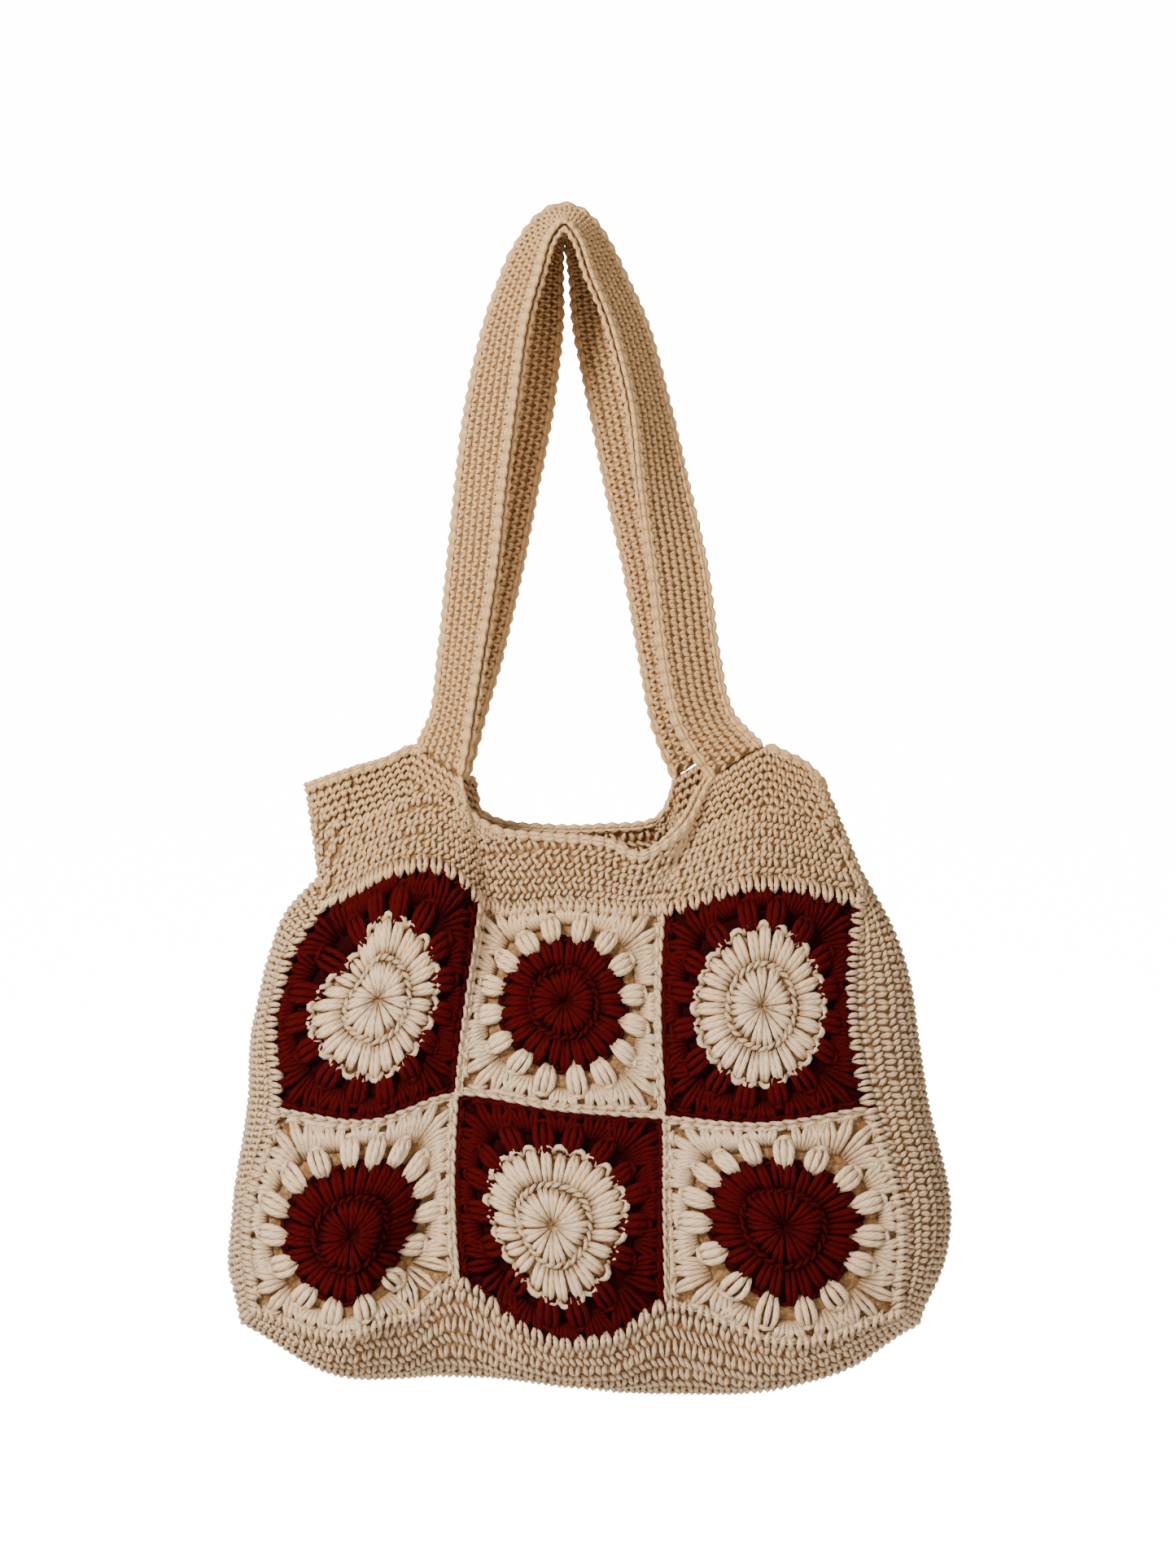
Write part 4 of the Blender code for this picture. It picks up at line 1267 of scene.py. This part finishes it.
class ToteYarnSettings(bpy.types.PropertyGroup):
    """Sizes and colours of the bag's crochet."""

    red: colour_of("Red yarn", "Colour of the red yarn", (0.062, 0.0010, 0.0010))
    # Painted shade: the colour that red strands darken to where they lie low between stitches, and the colour
    # of the thin walls under them.
    red_painted_shade: colour_of("Red shade", "Colour deep between red stitches", (0.008, 0.0001, 0.0001))
    cream: colour_of("Cream yarn", "Colour of the cream yarn low on the bag", (0.78, 0.58, 0.38))
    warm_cream: colour_of("Warm cream yarn", "Colour of the cream yarn at the top", (0.80, 0.49, 0.22))
    # Painted shade: the colour that cream strands darken to where they lie low between stitches, and the
    # colour of the thin walls under them.
    cream_painted_shade: colour_of("Cream shade", "Colour deep between cream stitches", (0.11, 0.040, 0.012))
    single_pitch: length_of("Single stitch", "Length of a single crochet stitch", 0.0052)
    single_row: length_of("Single row", "Height of a row of single crochet", 0.0049)
    half_double_pitch: length_of("Half double stitch", "Width of a half double stitch", 0.0078)
    half_double_row: length_of("Half double row", "Height of a half double row", 0.0088)
    chain_pitch: length_of("Chain link", "Length of a link of the braided edge", 0.0075)
    rosette_share: share_of("Rosette", "Radius of a rosette as a share of its square", 0.33)
    clusters: count_of("Puffs", "Puffs round a rosette", 16)
    cluster_length: share_of("Puff length", "Length of a puff as a share of its square", 0.125)
    strap_rows: count_of("Strap rows", "Rows of stitches across a strap", 6)
    band_rows: count_of("Band rows", "Half double rows of the top band", 5)
    gusset_rows: count_of("Gusset rows", "Half double rows of the gusset", 8)


class TOTE_OT_stage(bpy.types.Operator):
    """Set up the floor, the lights and the camera"""

    bl_idname = "tote.stage"
    bl_label = "Stage"

    def execute(self, context):
        make_stage()
        return {"FINISHED"}


class TOTE_OT_straps(bpy.types.Operator):
    """Lay the stitches of both straps"""

    bl_idname = "tote.straps"
    bl_label = "Straps"

    def execute(self, context):
        for seed, side in enumerate(SIDES):
            make_strap(side, 1 + seed)
        return {"FINISHED"}


class TOTE_OT_band(bpy.types.Operator):
    """Lay the stitches of the top band and its ears"""

    bl_idname = "tote.band"
    bl_label = "Top band"

    def execute(self, context):
        make_band()
        return {"FINISHED"}


class TOTE_OT_gusset(bpy.types.Operator):
    """Lay the rows of the gusset"""

    bl_idname = "tote.gusset"
    bl_label = "Gusset"

    def execute(self, context):
        make_gusset()
        return {"FINISHED"}


class TOTE_OT_squares(bpy.types.Operator):
    """Lay the granny squares, with rosettes and frames in alternating colours"""

    bl_idname = "tote.squares"
    bl_label = "Granny squares"

    def execute(self, context):
        for side in SIDES:
            for level in range(len(LEVELS)):
                for column in range(len(COLUMNS)):
                    red_frame = (column + level) % 2 == 0
                    make_rosette(side, column, level, not red_frame)
                    make_frame(side, column, level, red_frame)
        return {"FINISHED"}


class TOTE_OT_joins(bpy.types.Operator):
    """Lay the cords between the squares and the legs round their edge"""

    bl_idname = "tote.joins"
    bl_label = "Joining yarn"

    def execute(self, context):
        for side in SIDES:
            make_joins(side)
        return {"FINISHED"}


STEPS = (TOTE_OT_stage, TOTE_OT_straps, TOTE_OT_band, TOTE_OT_gusset, TOTE_OT_squares, TOTE_OT_joins)


class TOTE_PT_panel(bpy.types.Panel):
    """The steps that make the bag"""

    bl_idname = "TOTE_PT_panel"
    bl_label = "Crocheted tote bag"
    bl_space_type = "VIEW_3D"
    bl_region_type = "UI"
    bl_category = "Tote"

    def draw(self, context):
        for step in STEPS:
            self.layout.operator(step.bl_idname)
        for name in ToteYarnSettings.__annotations__:
            self.layout.prop(context.scene.tote_yarn, name)


CLASSES = (ToteYarnSettings, *STEPS, TOTE_PT_panel)


def register():
    for made in CLASSES:
        bpy.utils.register_class(made)
    bpy.types.Scene.tote_yarn = bpy.props.PointerProperty(type=ToteYarnSettings)


def unregister():
    del bpy.types.Scene.tote_yarn
    for made in reversed(CLASSES):
        bpy.utils.unregister_class(made)


def main():
    register()
    bpy.ops.tote.stage()
    bpy.ops.tote.straps()
    bpy.ops.tote.band()
    bpy.ops.tote.gusset()
    bpy.ops.tote.squares()
    bpy.ops.tote.joins()


if __name__ == "__main__":
    main()
